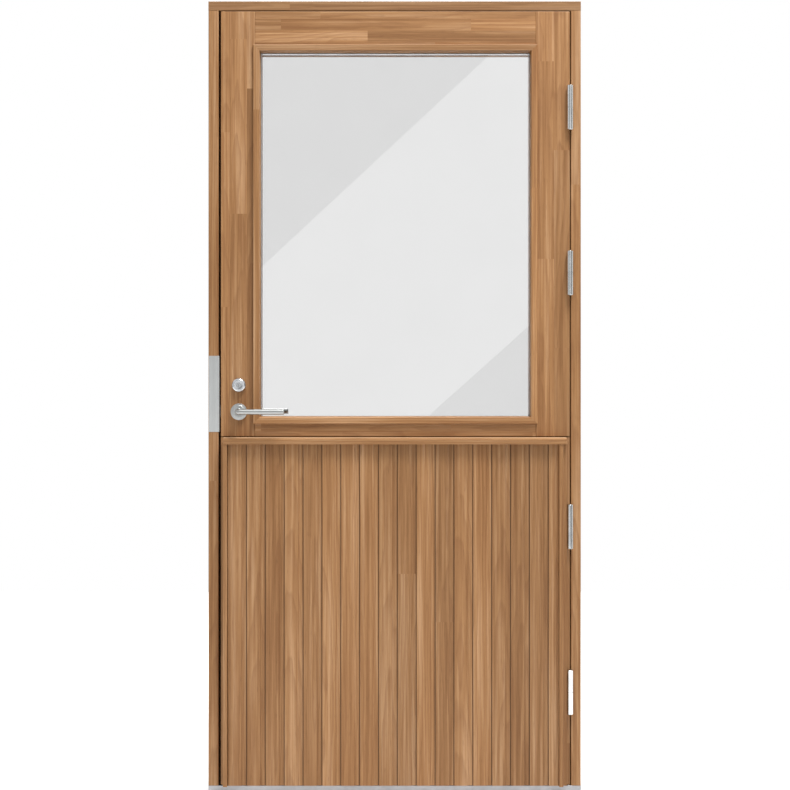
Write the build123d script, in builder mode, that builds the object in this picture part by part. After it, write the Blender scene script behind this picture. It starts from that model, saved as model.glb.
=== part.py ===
from build123d import *
import os

# Glazed exterior door in its frame. The leaf opens outwards on four hinges.
# Millimetres. +X to the hinge side, +Y indoors, +Z up.
# The origin is the middle of the threshold's underside.

os.makedirs("parts", exist_ok=True)

# Frame
frame_width = 980
frame_height = 2080
frame_depth = 115
jamb_face = 26.5
head_face = 24.5
stop_height = 18
arris = 2

# Threshold
sill_front = 16.5
plate_thick = 2.5
tread_grooves = 5
tread_pitch = 6
tread_width = 2
tread_depth = 0.8
tread_inset = 10
sill_nose = 1

# Leaf and the gaps round it
leaf_thick = 62
gap_lock = 6
gap_hinge = 2.4
gap_top = 2
gap_bottom = 2.5
gap_back = 6
stile_width = 90
lip_width = 15
lip_thick = 19
top_rail_height = 92.5
mid_rail_drop = 27
mid_rail_height = 123
bottom_rail_height = 140
joint_bevel = 1
tenon_long = 50
tenon_thick = 14
tenon_play = 0.2
tenon_height = 60
mid_tenon_drop = 48

# Weather seal round the stop
seal_width = 8
seal_inset = 1.5
seal_play = 0.3
seal_round = 2.5
seal_foot_width = 3
seal_foot_depth = 6
seal_foot_play = 0.1

# Glazing
glass_thick = 4
glass_gap = 16
glass_play = 4
tape_width = 9
outer_tape = 2
inner_tape = 3
spacer_inset = 2
spacer_width = 9.5
block_length = 100
block_inset = 120

# Glazing beads
bead_lap = 4.5
bead_proud = 7
bead_face = 16.5
bead_slope = 3
bead_round = 1.5

# Lower panel
panel_skin = 9
board_thick = 12
board_count = 18
last_board_width = 27.8
board_lip = 11.5
board_step = 3
board_gap = 2.5
board_round = 1
tongue_long = 6
tongue_thick = 4
tongue_back = 4
tongue_play = 0.25
field_inset_lock = 18.9
field_inset_hinge = 30.4
strip_proud = 25
strip_inset_lock = 7.5
strip_inset_hinge = 9.6
strip_face_hinge = 11

# Drip moulding
mould_drop = 85
mould_height = 17.5
mould_proud = 27
mould_slope = 4
mould_lap = 9
mould_end_bevel = 3
mould_round = 1.2
drip_width = 3
drip_depth = 3
drip_inset = 4
shadow_height = 3.2
shadow_depth = 7

# Hinges
hinge_foot = 244.9
hinge_head = 254.5
hinge_pair = 434.5
hinge_length = 117
barrel_radius = 8.3
barrel_clear = 0.7
barrel_inset = 0.7
barrel_bevel = 1
hinge_pin_radius = 4.5
hinge_pin_play = 0.05
hinge_pin_rise = 50
hinge_pin_end_play = 1
ring_radius = 7
ring_height = 1
ring_play = 0.05
flap_thick = 3
flap_depth = 32
flap_root = 5.2
flap_play = 0.2

# Screws
screw_radius = 2
screw_head_radius = 3.9
screw_head_height = 2.2
screw_length = 22
screw_play = 0.15
flap_screw_far = 24
flap_screw_near = 11
flap_screw_spread = 18

# Frame fixing sleeves
sleeve_count = 4
sleeve_foot = 130
sleeve_head = 150
sleeve_radius = 8
sleeve_bore = 4
sleeve_short = 1
sleeve_play = 0.1
sleeve_depth = 46

# Strike plate
strike_drop = 53
strike_height = 200
strike_thick = 2.5
strike_sink = 2
strike_edge = 1.2
strike_flange = 60
strike_hole_play = 1.2
strike_pocket = 16
strike_screw_inset = 9
strike_bend = 1.5

# Lock
handle_height = 1000
cylinder_rise = 70
backset = 48
case_thick = 15
case_back = 23.5
case_below = 60
case_above = 40
case_play = 0.3
faceplate_thick = 3
faceplate_width = 22
faceplate_height = 235
faceplate_rise = 10
faceplate_screw_inset = 8
follower_radius = 10
follower_play = 0.05
cam_radius = 8.5
bolt_thick = 12
bolt_height = 30
bolt_play = 0.25
latch_throw = 12
latch_length = 31.5
latch_nose = 7
latch_flat = 1
dead_throw = 20
dead_length = 33
dead_sink = 0.5
dead_bevel = 1
channel_end = 1

# Levers, roses and spindle
spindle_side = 8
spindle_play = 0.1
spindle_reach = 22
rose_radius = 21.6
rose_step_radius = 16.5
rose_edge = 7.5
rose_thick = 9
rose_round = 2
collar_radius = 8.5
collar_play = 0.05
collar_base = 1
collar_top = 15
neck_radius = 6.7
neck_bury = 1
grip_radius = 7.4
grip_reach = 122
grip_out = 50
grip_start = 20
grip_swell = 26
bend_radius = 9
cap_length = 7
cap_groove = 0.5
cap_groove_width = 1
cap_round = 1.5
spindle_hole_radius = 11

# Cylinder and thumb turn
cyl_ring_radius = 18.8
cyl_rim_radius = 14.5
cyl_proud = 11
cyl_edge = 3
cyl_swell = 1
cyl_body_radius = 14
cyl_body_play = 0.25
cyl_dish_radius = 10
cyl_dish = 1
plug_radius = 7
plug_play = 0.05
plug_proud = 0.6
key_slot_width = 1.6
key_slot_height = 8
key_slot_depth = 12
tail_width = 8
tail_thick = 2
tail_long = 7
turn_rose_radius = 19
turn_rose_thick = 8
turn_shaft_radius = 5
turn_shaft_play = 0.05
turn_shaft_hole = 6.5
turn_neck_radius = 7
turn_neck_gap = 0.5
turn_wing_length = 36
turn_wing_width = 11
turn_wing_start = 11
turn_wing_end = 27
turn_wing_round = 2

# Places worked out from the sizes above
front = -frame_depth / 2
back = frame_depth / 2
frame_right = frame_width / 2
frame_left = -frame_right
leaf_back = front + leaf_thick
stop_y = leaf_back + gap_back
cheek_left = frame_left + jamb_face
cheek_right = frame_right - jamb_face
stop_edge = cheek_right - stop_height
head_under = frame_height - head_face
sill_back = sill_front + stop_height
leaf_left = cheek_left + gap_lock
leaf_right = cheek_right - gap_hinge
leaf_top = head_under - gap_top
leaf_bottom = sill_front + gap_bottom
inner_left = leaf_left + stile_width
inner_right = leaf_right - stile_width
lip_y = leaf_back - lip_thick
glass_top = leaf_top - top_rail_height
mid_rail_top = handle_height - mid_rail_drop
panel_top = mid_rail_top - mid_rail_height
panel_bottom = leaf_bottom + bottom_rail_height
pane_outer_y = lip_y - inner_tape - 2 * glass_thick - glass_gap
low_hinge = leaf_bottom + hinge_foot
high_hinge = leaf_top - hinge_head
hinge_heights = (low_hinge, low_hinge + hinge_pair, high_hinge - hinge_pair, high_hinge)
hinge_x = leaf_right - barrel_inset
hinge_y = front - barrel_radius - barrel_clear
mould_bottom = handle_height - mould_drop
mould_top = mould_bottom + mould_height
board_top = mould_bottom + mould_lap
lock_y = front + leaf_thick / 2
axis_x = leaf_left + backset
cylinder_height = handle_height + cylinder_rise
case_front_y = lock_y - case_thick / 2
case_back_y = lock_y + case_thick / 2
case_bottom = handle_height - case_below
case_top = cylinder_height + case_above
faceplate_middle = (case_bottom + case_top) / 2 + faceplate_rise
tenon_y = (front + lip_y) / 2


def upright(y):
    """Plane facing outdoors at depth y, whose own x and y are the row's X and Z."""
    return Plane(origin=(0, y, 0), x_dir=(1, 0, 0), z_dir=(0, -1, 0))


def face_of(points):
    """Fill a closed outline in the sketch that is being drawn."""
    with BuildLine() as outline:
        Polyline(*points, close=True)
    make_face(outline.edges())


def cut_box(x0, x1, y0, y1, z0, z1):
    """Cut a square-cornered pocket out of the part that is being built."""
    with BuildSketch(Plane.XY.offset(z0)) as pocket:
        with Locations(((x0 + x1) / 2, (y0 + y1) / 2)):
            Rectangle(x1 - x0, y1 - y0)
    extrude(pocket.sketch, amount=z1 - z0, mode=Mode.SUBTRACT)


def rod(point, direction, radius, length, mode=Mode.ADD):
    """Add or cut a round bar that starts at a point and runs in a direction."""
    with BuildSketch(Plane(origin=point, z_dir=direction)) as disc:
        Circle(radius)
    extrude(disc.sketch, amount=length, mode=mode)


def seal_ring(y, depth, width, mode=Mode.ADD):
    """A rectangular ring centred in the seal's band, from depth y going indoors."""
    middle = seal_inset + seal_width / 2
    ring_x = stop_edge + middle
    ring_low = sill_back - middle
    ring_high = head_under - stop_height + middle
    with BuildSketch(upright(y)) as ring:
        with Locations((0, (ring_low + ring_high) / 2)):
            Rectangle(2 * ring_x + width, ring_high - ring_low + width)
            Rectangle(2 * ring_x - width, ring_high - ring_low - width, mode=Mode.SUBTRACT)
    extrude(ring.sketch, amount=-depth, mode=mode)


def cut_seal_groove():
    seal_ring(stop_y, seal_foot_depth + seal_foot_play, seal_foot_width + 2 * seal_foot_play,
              mode=Mode.SUBTRACT)


def flap_screws(x, middle, toward):
    """The three screw points of one hinge flap and the way they are driven."""
    far_y = front + flap_screw_far
    return [
        ((x, far_y, middle - flap_screw_spread), toward),
        ((x, far_y, middle + flap_screw_spread), toward),
        ((x, front + flap_screw_near, middle), toward),
    ]


def add_screw(point, direction):
    """A countersunk screw with its head flush at the point."""
    with BuildSketch(Plane(origin=point, x_dir=direction, z_dir=(0, 0, 1))) as half:
        face_of([
            (0, 0),
            (0, screw_head_radius),
            (screw_head_height, screw_radius),
            (screw_length, screw_radius),
            (screw_length, 0),
        ])
    revolve(half.sketch, axis=Axis(point, direction))


def cut_screw(point, direction, depth=screw_length):
    """The countersunk hole for a screw, a little larger all round."""
    hole = screw_radius + screw_play
    head = screw_head_radius + screw_play
    with BuildSketch(Plane(origin=point, x_dir=direction, z_dir=(0, 0, 1))) as half:
        face_of([
            (0, 0),
            (0, head),
            (screw_head_height, hole),
            (depth + screw_play, hole),
            (depth + screw_play, 0),
        ])
    revolve(half.sketch, axis=Axis(point, direction), mode=Mode.SUBTRACT)


hinge_frame_points = []
hinge_leaf_points = []
flap_middle = hinge_length / 4
for height in hinge_heights:
    hinge_frame_points += flap_screws(cheek_right, height - flap_middle, (1, 0, 0))
    hinge_leaf_points += flap_screws(leaf_right, height + flap_middle, (-1, 0, 0))

sleeve_pitch = (frame_height - sleeve_foot - sleeve_head) / (sleeve_count - 1)
sleeve_heights = [sleeve_foot + number * sleeve_pitch for number in range(sleeve_count)]

strike_x = cheek_left + strike_thick
strike_bottom = handle_height - strike_drop
strike_top = strike_bottom + strike_height
strike_screw_heights = (
    strike_bottom + strike_screw_inset,
    (handle_height + cylinder_height) / 2,
    strike_top - strike_screw_inset,
)
strike_points = [((strike_x, lock_y, z), (-1, 0, 0)) for z in strike_screw_heights]
faceplate_reach = faceplate_height / 2 - faceplate_screw_inset
faceplate_points = [
    ((leaf_left, lock_y, faceplate_middle - faceplate_reach), (1, 0, 0)),
    ((leaf_left, lock_y, faceplate_middle + faceplate_reach), (1, 0, 0)),
]


def cut_bolt_pocket(x0, x1, height, play):
    """A pocket for the latch or the dead bolt, from x0 to x1."""
    half_y = bolt_thick / 2 + play
    half_z = bolt_height / 2 + play
    cut_box(x0, x1, lock_y - half_y, lock_y + half_y, height - half_z, height + half_z)


# Frame: two jambs on the threshold and a head over them
def jamb_outline(side):
    """Section of a jamb, with the stop that the leaf closes against."""
    return [
        (side * frame_right, front),
        (side * cheek_right, front),
        (side * cheek_right, stop_y),
        (side * stop_edge, stop_y),
        (side * stop_edge, back),
        (side * frame_right, back),
    ]


def build_jamb(side):
    """Jamb blank: its foot is stepped over the threshold and its stop is grooved."""
    with BuildSketch(Plane.XY.offset(sill_front)) as section:
        face_of(jamb_outline(side))
    extrude(section.sketch, amount=head_under - sill_front)
    inner = min(side * stop_edge, side * frame_right)
    outer = max(side * stop_edge, side * frame_right)
    cut_box(inner, outer, stop_y, back, sill_front, sill_back)
    cut_seal_groove()


with BuildPart() as lock_jamb:
    build_jamb(-1)
    fillet(lock_jamb.edges().filter_by(Axis.Z).group_by(Axis.Y)[0], arris)
    cut_box(frame_left + strike_edge, strike_x, front - strike_sink, front + strike_sink,
            strike_bottom, strike_top)
    cut_bolt_pocket(cheek_left - strike_pocket, cheek_left, handle_height, strike_hole_play)
    cut_bolt_pocket(cheek_left - strike_pocket, cheek_left, cylinder_height, strike_hole_play)
    for point, direction in strike_points:
        cut_screw(point, direction)
    for z in sleeve_heights:
        rod((frame_left, front + sleeve_depth, z), (1, 0, 0), sleeve_radius + sleeve_play,
            jamb_face, mode=Mode.SUBTRACT)
lock_jamb.part.label = "lock_jamb"
export_step(lock_jamb.part, "parts/lock_jamb.step")

with BuildPart() as hinge_jamb:
    build_jamb(1)
    fillet(hinge_jamb.edges().filter_by(Axis.Z).group_by(Axis.Y)[0], arris)
    for height in hinge_heights:
        cut_box(cheek_right, cheek_right + flap_thick, front, front + flap_depth + flap_play,
                height - hinge_length / 2 - flap_play, height + flap_play)
    for point, direction in hinge_frame_points:
        cut_screw(point, direction)
    for z in sleeve_heights:
        rod((frame_right, front + sleeve_depth, z), (-1, 0, 0), sleeve_radius + sleeve_play,
            jamb_face, mode=Mode.SUBTRACT)
hinge_jamb.part.label = "hinge_jamb"
export_step(hinge_jamb.part, "parts/hinge_jamb.step")

with BuildPart() as frame_head:
    with BuildSketch(Plane.YZ.offset(frame_left)):
        with Locations(((front + back) / 2, head_under + head_face / 2)):
            Rectangle(frame_depth, head_face)
    extrude(amount=frame_width)
    with BuildSketch(Plane.YZ.offset(-stop_edge)):
        with Locations(((stop_y + back) / 2, head_under - stop_height / 2)):
            Rectangle(back - stop_y, stop_height)
    extrude(amount=2 * stop_edge)
    cut_seal_groove()
    fillet(frame_head.edges().filter_by(Axis.X).group_by(Axis.Y)[0], arris)
frame_head.part.label = "frame_head"
export_step(frame_head.part, "parts/frame_head.step")

# Threshold: an aluminium plate folded over a hardwood sill
plate_under_front = sill_front - plate_thick
plate_under_back = sill_back - plate_thick
with BuildPart() as threshold_plate:
    with BuildSketch(Plane.YZ.offset(frame_left)) as plate_section:
        face_of([
            (front, 0),
            (front, sill_front),
            (stop_y, sill_front),
            (stop_y, sill_back),
            (back, sill_back),
            (back, plate_under_back),
            (stop_y + plate_thick, plate_under_back),
            (stop_y + plate_thick, plate_under_front),
            (front + plate_thick, plate_under_front),
            (front + plate_thick, 0),
        ])
        with Locations((stop_y + tread_inset + tread_pitch * (tread_grooves - 1) / 2, sill_back)):
            with GridLocations(tread_pitch, 1, tread_grooves, 1):
                Rectangle(tread_width, 2 * tread_depth, mode=Mode.SUBTRACT)
    extrude(amount=frame_width)
    cut_seal_groove()
    fillet(threshold_plate.edges().filter_by(Axis.X).group_by(Axis.Y)[0].sort_by(Axis.Z)[-1], sill_nose)
threshold_plate.part.label = "threshold_plate"
export_step(threshold_plate.part, "parts/threshold_plate.step")

with BuildPart() as threshold_sill:
    with BuildSketch(Plane.YZ.offset(frame_left)):
        face_of([
            (front + plate_thick, 0),
            (front + plate_thick, plate_under_front),
            (stop_y + plate_thick, plate_under_front),
            (stop_y + plate_thick, plate_under_back),
            (back, plate_under_back),
            (back, 0),
        ])
    extrude(amount=frame_width)
    cut_seal_groove()
threshold_sill.part.label = "threshold_sill"
export_step(threshold_sill.part, "parts/threshold_sill.step")

with BuildPart() as frame_seal:
    seal_ring(leaf_back + seal_play, gap_back - seal_play, seal_width)
    fillet(frame_seal.edges().group_by(Axis.Y)[0], seal_round)
    seal_ring(stop_y, seal_foot_depth, seal_foot_width)
frame_seal.part.label = "frame_seal"
export_step(frame_seal.part, "parts/frame_seal.step")

with BuildPart() as frame_sleeves:
    for side in (-1, 1):
        for z in sleeve_heights:
            outer_end = (side * frame_right, front + sleeve_depth, z)
            length = jamb_face - sleeve_short
            rod(outer_end, (-side, 0, 0), sleeve_radius, length)
            rod(outer_end, (-side, 0, 0), sleeve_bore, length, mode=Mode.SUBTRACT)
frame_sleeves.part.label = "frame_sleeves"
export_step(frame_sleeves.part, "parts/frame_sleeves.step")

# Strike plate: a folded angle over the lock jamb's face and cheek
with BuildPart() as strike_plate:
    strike_face_y = front + strike_sink - strike_thick
    with BuildSketch(Plane.XY.offset(strike_bottom)):
        face_of([
            (frame_left + strike_edge, strike_face_y),
            (strike_x, strike_face_y),
            (strike_x, front + strike_flange),
            (cheek_left, front + strike_flange),
            (cheek_left, front + strike_sink),
            (frame_left + strike_edge, front + strike_sink),
        ])
    extrude(amount=strike_height)
    bend = strike_plate.edges().filter_by(Axis.Z).group_by(Axis.Y)[0].sort_by(Axis.X)[-1]
    fillet(bend, strike_bend)
    for z in (handle_height, cylinder_height):
        cut_bolt_pocket(cheek_left, strike_x, z, strike_hole_play)
    for point, direction in strike_points:
        cut_screw(point, direction)
strike_plate.part.label = "strike_plate"
export_step(strike_plate.part, "parts/strike_plate.step")

with BuildPart() as frame_screws:
    for point, direction in hinge_frame_points + strike_points:
        add_screw(point, direction)
frame_screws.part.label = "frame_screws"
export_step(frame_screws.part, "parts/frame_screws.step")


# Hinges: the lower knuckle and its pin belong to the frame, the upper one to the leaf
def flap_box(x0, z0, z1):
    """One hinge flap, from inside its knuckle to its end in the wood."""
    with BuildSketch(Plane.XY.offset(z0)) as flap:
        with Locations((x0 + flap_thick / 2, (hinge_y + flap_root + front + flap_depth) / 2)):
            Rectangle(flap_thick, front + flap_depth - hinge_y - flap_root)
    extrude(flap.sketch, amount=z1 - z0)


def knuckle_end(part, z):
    """The round edges of the knuckles at one height."""
    rims = part.edges().filter_by(GeomType.CIRCLE)
    return rims.filter_by(lambda e: abs(e.radius - barrel_radius) < 0.01 and abs(e.center().Z - z) < 0.1)


with BuildPart() as hinge_frame_halves:
    for height in hinge_heights:
        knuckle_bottom = height - hinge_length / 2
        knuckle_top = height - ring_height / 2
        rod((hinge_x, hinge_y, knuckle_bottom), (0, 0, 1), barrel_radius,
            knuckle_top - knuckle_bottom)
        chamfer(knuckle_end(hinge_frame_halves, knuckle_bottom), barrel_bevel)
        rod((hinge_x, hinge_y, knuckle_top), (0, 0, 1), ring_radius, ring_height - ring_play)
        rod((hinge_x, hinge_y, knuckle_top), (0, 0, 1), hinge_pin_radius, hinge_pin_rise)
        flap_box(cheek_right, knuckle_bottom, knuckle_top)
    for point, direction in hinge_frame_points:
        cut_screw(point, direction)
hinge_frame_halves.part.label = "hinge_frame_halves"
export_step(hinge_frame_halves.part, "parts/hinge_frame_halves.step")

with BuildPart() as hinge_leaf_halves:
    for height in hinge_heights:
        knuckle_bottom = height + ring_height / 2
        knuckle_top = height + hinge_length / 2
        rod((hinge_x, hinge_y, knuckle_bottom), (0, 0, 1), barrel_radius,
            knuckle_top - knuckle_bottom)
        chamfer(knuckle_end(hinge_leaf_halves, knuckle_top), barrel_bevel)
        flap_box(leaf_right - flap_thick, knuckle_bottom, knuckle_top)
        rod((hinge_x, hinge_y, knuckle_bottom), (0, 0, 1), hinge_pin_radius + hinge_pin_play,
            hinge_pin_rise - ring_height + hinge_pin_end_play, mode=Mode.SUBTRACT)
    for point, direction in hinge_leaf_points:
        cut_screw(point, direction)
hinge_leaf_halves.part.label = "hinge_leaf_halves"
export_step(hinge_leaf_halves.part, "parts/hinge_leaf_halves.step")

with BuildPart() as leaf_screws:
    for point, direction in hinge_leaf_points + faceplate_points:
        add_screw(point, direction)
leaf_screws.part.label = "leaf_screws"
export_step(leaf_screws.part, "parts/leaf_screws.step")


# Leaf: stiles with a lip behind the glass, and three rails tenoned between them
top_tenon = (leaf_top + glass_top) / 2
mid_tenon = mid_rail_top - mid_tenon_drop - tenon_height / 2
bottom_tenon = (leaf_bottom + panel_bottom) / 2
tenon_middles = (top_tenon, mid_tenon, bottom_tenon)


def stile_outline(outer_x, inner_x, inward):
    """Section of a stile; inward is +1 where the glass lies to its right."""
    return [
        (outer_x, front),
        (inner_x, front),
        (inner_x, lip_y),
        (inner_x + inward * lip_width, lip_y),
        (inner_x + inward * lip_width, leaf_back),
        (outer_x, leaf_back),
    ]


def cut_mortises(inner_x, inward):
    """Mortises for the three rails' tenons, from a stile's inner edge."""
    mortise_end = inner_x - inward * (tenon_long + tenon_play)
    low_x = min(inner_x, mortise_end)
    high_x = max(inner_x, mortise_end)
    half_y = tenon_thick / 2 + tenon_play
    half_z = tenon_height / 2 + tenon_play
    for middle in tenon_middles:
        cut_box(low_x, high_x, tenon_y - half_y, tenon_y + half_y, middle - half_z, middle + half_z)


def cut_shadow_groove():
    """The narrow dark groove that runs across the leaf over the drip moulding."""
    cut_box(leaf_left, leaf_right, front, front + shadow_depth, mould_top, mould_top + shadow_height)


def build_stile(stile, outer_x, inner_x, inward):
    """A stile: its section, its eased edges, its mortises and the shadow groove."""
    with BuildSketch(Plane.XY.offset(leaf_bottom)) as section:
        face_of(stile_outline(outer_x, inner_x, inward))
    extrude(section.sketch, amount=leaf_top - leaf_bottom)
    fillet(stile.edges().filter_by(Axis.Z).group_by(Axis.X)[0 if inward > 0 else -1], arris)
    fillet(stile.edges().filter_by(Axis.X).group_by(Axis.Z)[-1].group_by(Axis.Y)[0], arris)
    joint = stile.edges().filter_by(Axis.Z).group_by(Axis.Y)[0]
    chamfer(joint.sort_by(lambda e: abs(e.center().X - inner_x))[0], joint_bevel)
    cut_mortises(inner_x, inward)
    cut_shadow_groove()


with BuildPart() as lock_stile:
    build_stile(lock_stile, leaf_left, inner_left, 1)
    with BuildSketch(Plane(origin=(leaf_left, lock_y, faceplate_middle), x_dir=(0, 0, 1), z_dir=(1, 0, 0))):
        SlotOverall(faceplate_height + 2 * case_play, faceplate_width + 2 * case_play)
    extrude(amount=faceplate_thick, mode=Mode.SUBTRACT)
    cut_box(leaf_left, leaf_left + backset + case_back + case_play, case_front_y - case_play,
            case_back_y + case_play, case_bottom - case_play, case_top + case_play)
    rod((axis_x, front, handle_height), (0, 1, 0), spindle_hole_radius, leaf_thick,
        mode=Mode.SUBTRACT)
    rod((axis_x, front, cylinder_height), (0, 1, 0), cyl_body_radius + cyl_body_play,
        leaf_thick / 2, mode=Mode.SUBTRACT)
    rod((axis_x, lock_y, cylinder_height), (0, 1, 0), turn_shaft_hole, leaf_thick / 2,
        mode=Mode.SUBTRACT)
    for point, direction in faceplate_points:
        cut_screw(point, direction)
lock_stile.part.label = "lock_stile"
export_step(lock_stile.part, "parts/lock_stile.step")

with BuildPart() as hinge_stile:
    build_stile(hinge_stile, leaf_right, inner_right, -1)
    for height in hinge_heights:
        cut_box(leaf_right - flap_thick, leaf_right, front, front + flap_depth + flap_play,
                height - flap_play, height + hinge_length / 2 + flap_play)
    for point, direction in hinge_leaf_points:
        cut_screw(point, direction)
hinge_stile.part.label = "hinge_stile"
export_step(hinge_stile.part, "parts/hinge_stile.step")


def build_rail(rail, low, high, lip_low, lip_high, tenon_middle):
    """A rail with its lip, coped over the stiles' lips, with a tenon at each end."""
    with BuildSketch(Plane.YZ.offset(inner_left)) as section:
        with Locations(((front + lip_y) / 2, (low + high) / 2)):
            Rectangle(lip_y - front, high - low)
        with Locations(((lip_y + leaf_back) / 2, (lip_low + lip_high) / 2)):
            Rectangle(lip_thick, lip_high - lip_low)
    extrude(section.sketch, amount=inner_right - inner_left)
    chamfer(rail.edges().filter_by(Axis.Z).group_by(Axis.Y)[0], joint_bevel)
    cut_box(inner_left, inner_left + lip_width, lip_y, leaf_back, lip_low, lip_high)
    cut_box(inner_right - lip_width, inner_right, lip_y, leaf_back, lip_low, lip_high)
    with BuildSketch(Plane.YZ.offset(inner_left - tenon_long)) as tenon:
        with Locations((tenon_y, tenon_middle)):
            Rectangle(tenon_thick, tenon_height)
    extrude(tenon.sketch, amount=inner_right - inner_left + 2 * tenon_long)


with BuildPart() as top_rail:
    build_rail(top_rail, glass_top, leaf_top, glass_top - lip_width, leaf_top, top_tenon)
    top_edges = top_rail.edges().filter_by(Axis.X).group_by(Axis.Z)[-1]
    fillet(top_edges.group_by(Axis.Y)[0], arris)
top_rail.part.label = "top_rail"
export_step(top_rail.part, "parts/top_rail.step")

with BuildPart() as mid_rail:
    build_rail(mid_rail, panel_top, mid_rail_top, panel_top - lip_width,
               mid_rail_top + lip_width, mid_tenon)
    cut_shadow_groove()
mid_rail.part.label = "mid_rail"
export_step(mid_rail.part, "parts/mid_rail.step")

with BuildPart() as bottom_rail:
    build_rail(bottom_rail, leaf_bottom, panel_bottom, leaf_bottom, panel_bottom + lip_width,
               bottom_tenon)
bottom_rail.part.label = "bottom_rail"
export_step(bottom_rail.part, "parts/bottom_rail.step")


def sheet(x0, x1, z0, z1, y0, thickness):
    """A flat sheet that stands upright, from depth y0 going indoors."""
    with BuildSketch(upright(y0)) as face:
        with Locations(((x0 + x1) / 2, (z0 + z1) / 2)):
            Rectangle(x1 - x0, z1 - z0)
    extrude(face.sketch, amount=-thickness)


# Glazing: two panes round a spacer, on setting blocks, between sealing tapes
pane_left = inner_left + glass_play
pane_right = inner_right - glass_play
pane_bottom = mid_rail_top + glass_play
pane_top = glass_top - glass_play
spacer_y = pane_outer_y + glass_thick
pane_inner_y = spacer_y + glass_gap
unit_back_y = pane_inner_y + glass_thick
pane_middle = ((pane_left + pane_right) / 2, (pane_bottom + pane_top) / 2)

with BuildPart() as outer_pane:
    sheet(pane_left, pane_right, pane_bottom, pane_top, pane_outer_y, glass_thick)
outer_pane.part.label = "outer_pane"
export_step(outer_pane.part, "parts/outer_pane.step")

with BuildPart() as inner_pane:
    sheet(pane_left, pane_right, pane_bottom, pane_top, pane_inner_y, glass_thick)
inner_pane.part.label = "inner_pane"
export_step(inner_pane.part, "parts/inner_pane.step")


def pane_ring(y, depth, inset, width):
    """A frame of rectangular section that follows the panes' edge."""
    outer_w = pane_right - pane_left - 2 * inset
    outer_h = pane_top - pane_bottom - 2 * inset
    with BuildSketch(upright(y)) as ring:
        with Locations(pane_middle):
            Rectangle(outer_w, outer_h)
            Rectangle(outer_w - 2 * width, outer_h - 2 * width, mode=Mode.SUBTRACT)
    extrude(ring.sketch, amount=-depth)


with BuildPart() as spacer_bar:
    pane_ring(spacer_y, glass_gap, spacer_inset, spacer_width)
spacer_bar.part.label = "spacer_bar"
export_step(spacer_bar.part, "parts/spacer_bar.step")

with BuildPart() as glazing_packing:
    pane_ring(pane_outer_y - outer_tape, outer_tape, 0, tape_width)
    pane_ring(unit_back_y, inner_tape, 0, tape_width)
    for x0 in (pane_left + block_inset, pane_right - block_inset - block_length):
        sheet(x0, x0 + block_length, mid_rail_top, pane_bottom, pane_outer_y,
              2 * glass_thick + glass_gap)
glazing_packing.part.label = "glazing_packing"
export_step(glazing_packing.part, "parts/glazing_packing.step")

# Glazing beads: one moulded section, mitred at the four corners
bead_left = inner_left - bead_lap
bead_right = inner_right + bead_lap
bead_bottom = mid_rail_top - bead_lap
bead_top = glass_top + bead_lap
bead_seat = pane_outer_y - outer_tape - front
bead_wide = bead_right - bead_left
bead_high = bead_top - bead_bottom


def build_bead(bead, corner, inward, along, length):
    """A bead that runs from a corner of the beads' outline, with a mitre at each end."""
    corner = Vector(*corner)
    inward = Vector(*inward)
    along = Vector(*along)
    with BuildSketch(Plane(origin=corner, x_dir=inward, z_dir=along)) as section:
        face_of([
            (0, -bead_proud),
            (bead_face, -bead_proud),
            (bead_face + bead_slope, bead_seat),
            (bead_lap, bead_seat),
            (bead_lap, 0),
            (0, 0),
        ])
    extrude(section.sketch, amount=length)
    proud_edges = bead.edges().group_by(Axis.Y)[0].filter_by(GeomType.LINE)
    fillet(proud_edges.group_by(Edge.length)[-1], bead_round)
    split(bisect_by=Plane(origin=corner, z_dir=along - inward), keep=Keep.TOP)
    far = corner + along * length
    split(bisect_by=Plane(origin=far, z_dir=along + inward), keep=Keep.BOTTOM)


with BuildPart() as bead_lock_side:
    build_bead(bead_lock_side, (bead_left, front, bead_bottom), (1, 0, 0), (0, 0, 1), bead_high)
bead_lock_side.part.label = "bead_lock_side"
export_step(bead_lock_side.part, "parts/bead_lock_side.step")

with BuildPart() as bead_hinge_side:
    build_bead(bead_hinge_side, (bead_right, front, bead_top), (-1, 0, 0), (0, 0, -1), bead_high)
bead_hinge_side.part.label = "bead_hinge_side"
export_step(bead_hinge_side.part, "parts/bead_hinge_side.step")

with BuildPart() as bead_head:
    build_bead(bead_head, (bead_left, front, bead_top), (0, 0, -1), (1, 0, 0), bead_wide)
bead_head.part.label = "bead_head"
export_step(bead_head.part, "parts/bead_head.step")

with BuildPart() as bead_foot:
    build_bead(bead_foot, (bead_right, front, bead_bottom), (0, 0, 1), (-1, 0, 0), bead_wide)
bead_foot.part.label = "bead_foot"
export_step(bead_foot.part, "parts/bead_foot.step")

# Lower panel: an inner skin and an insulating core in the rebate of the leaf
with BuildPart() as inner_panel:
    sheet(inner_left, inner_right, panel_bottom, panel_top, lip_y - panel_skin, panel_skin)
inner_panel.part.label = "inner_panel"
export_step(inner_panel.part, "parts/inner_panel.step")

with BuildPart() as panel_core:
    sheet(inner_left, inner_right, panel_bottom, panel_top, front, lip_y - panel_skin - front)
panel_core.part.label = "panel_core"
export_step(panel_core.part, "parts/panel_core.step")

# Boards over the lower part of the leaf, between two edge strips
board_y = front - board_thick
field_left = leaf_left + field_inset_lock
field_right = leaf_right - field_inset_hinge
board_pitch = (field_right - field_left - last_board_width) / (board_count - 1)
tongue_y = front - tongue_back


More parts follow.
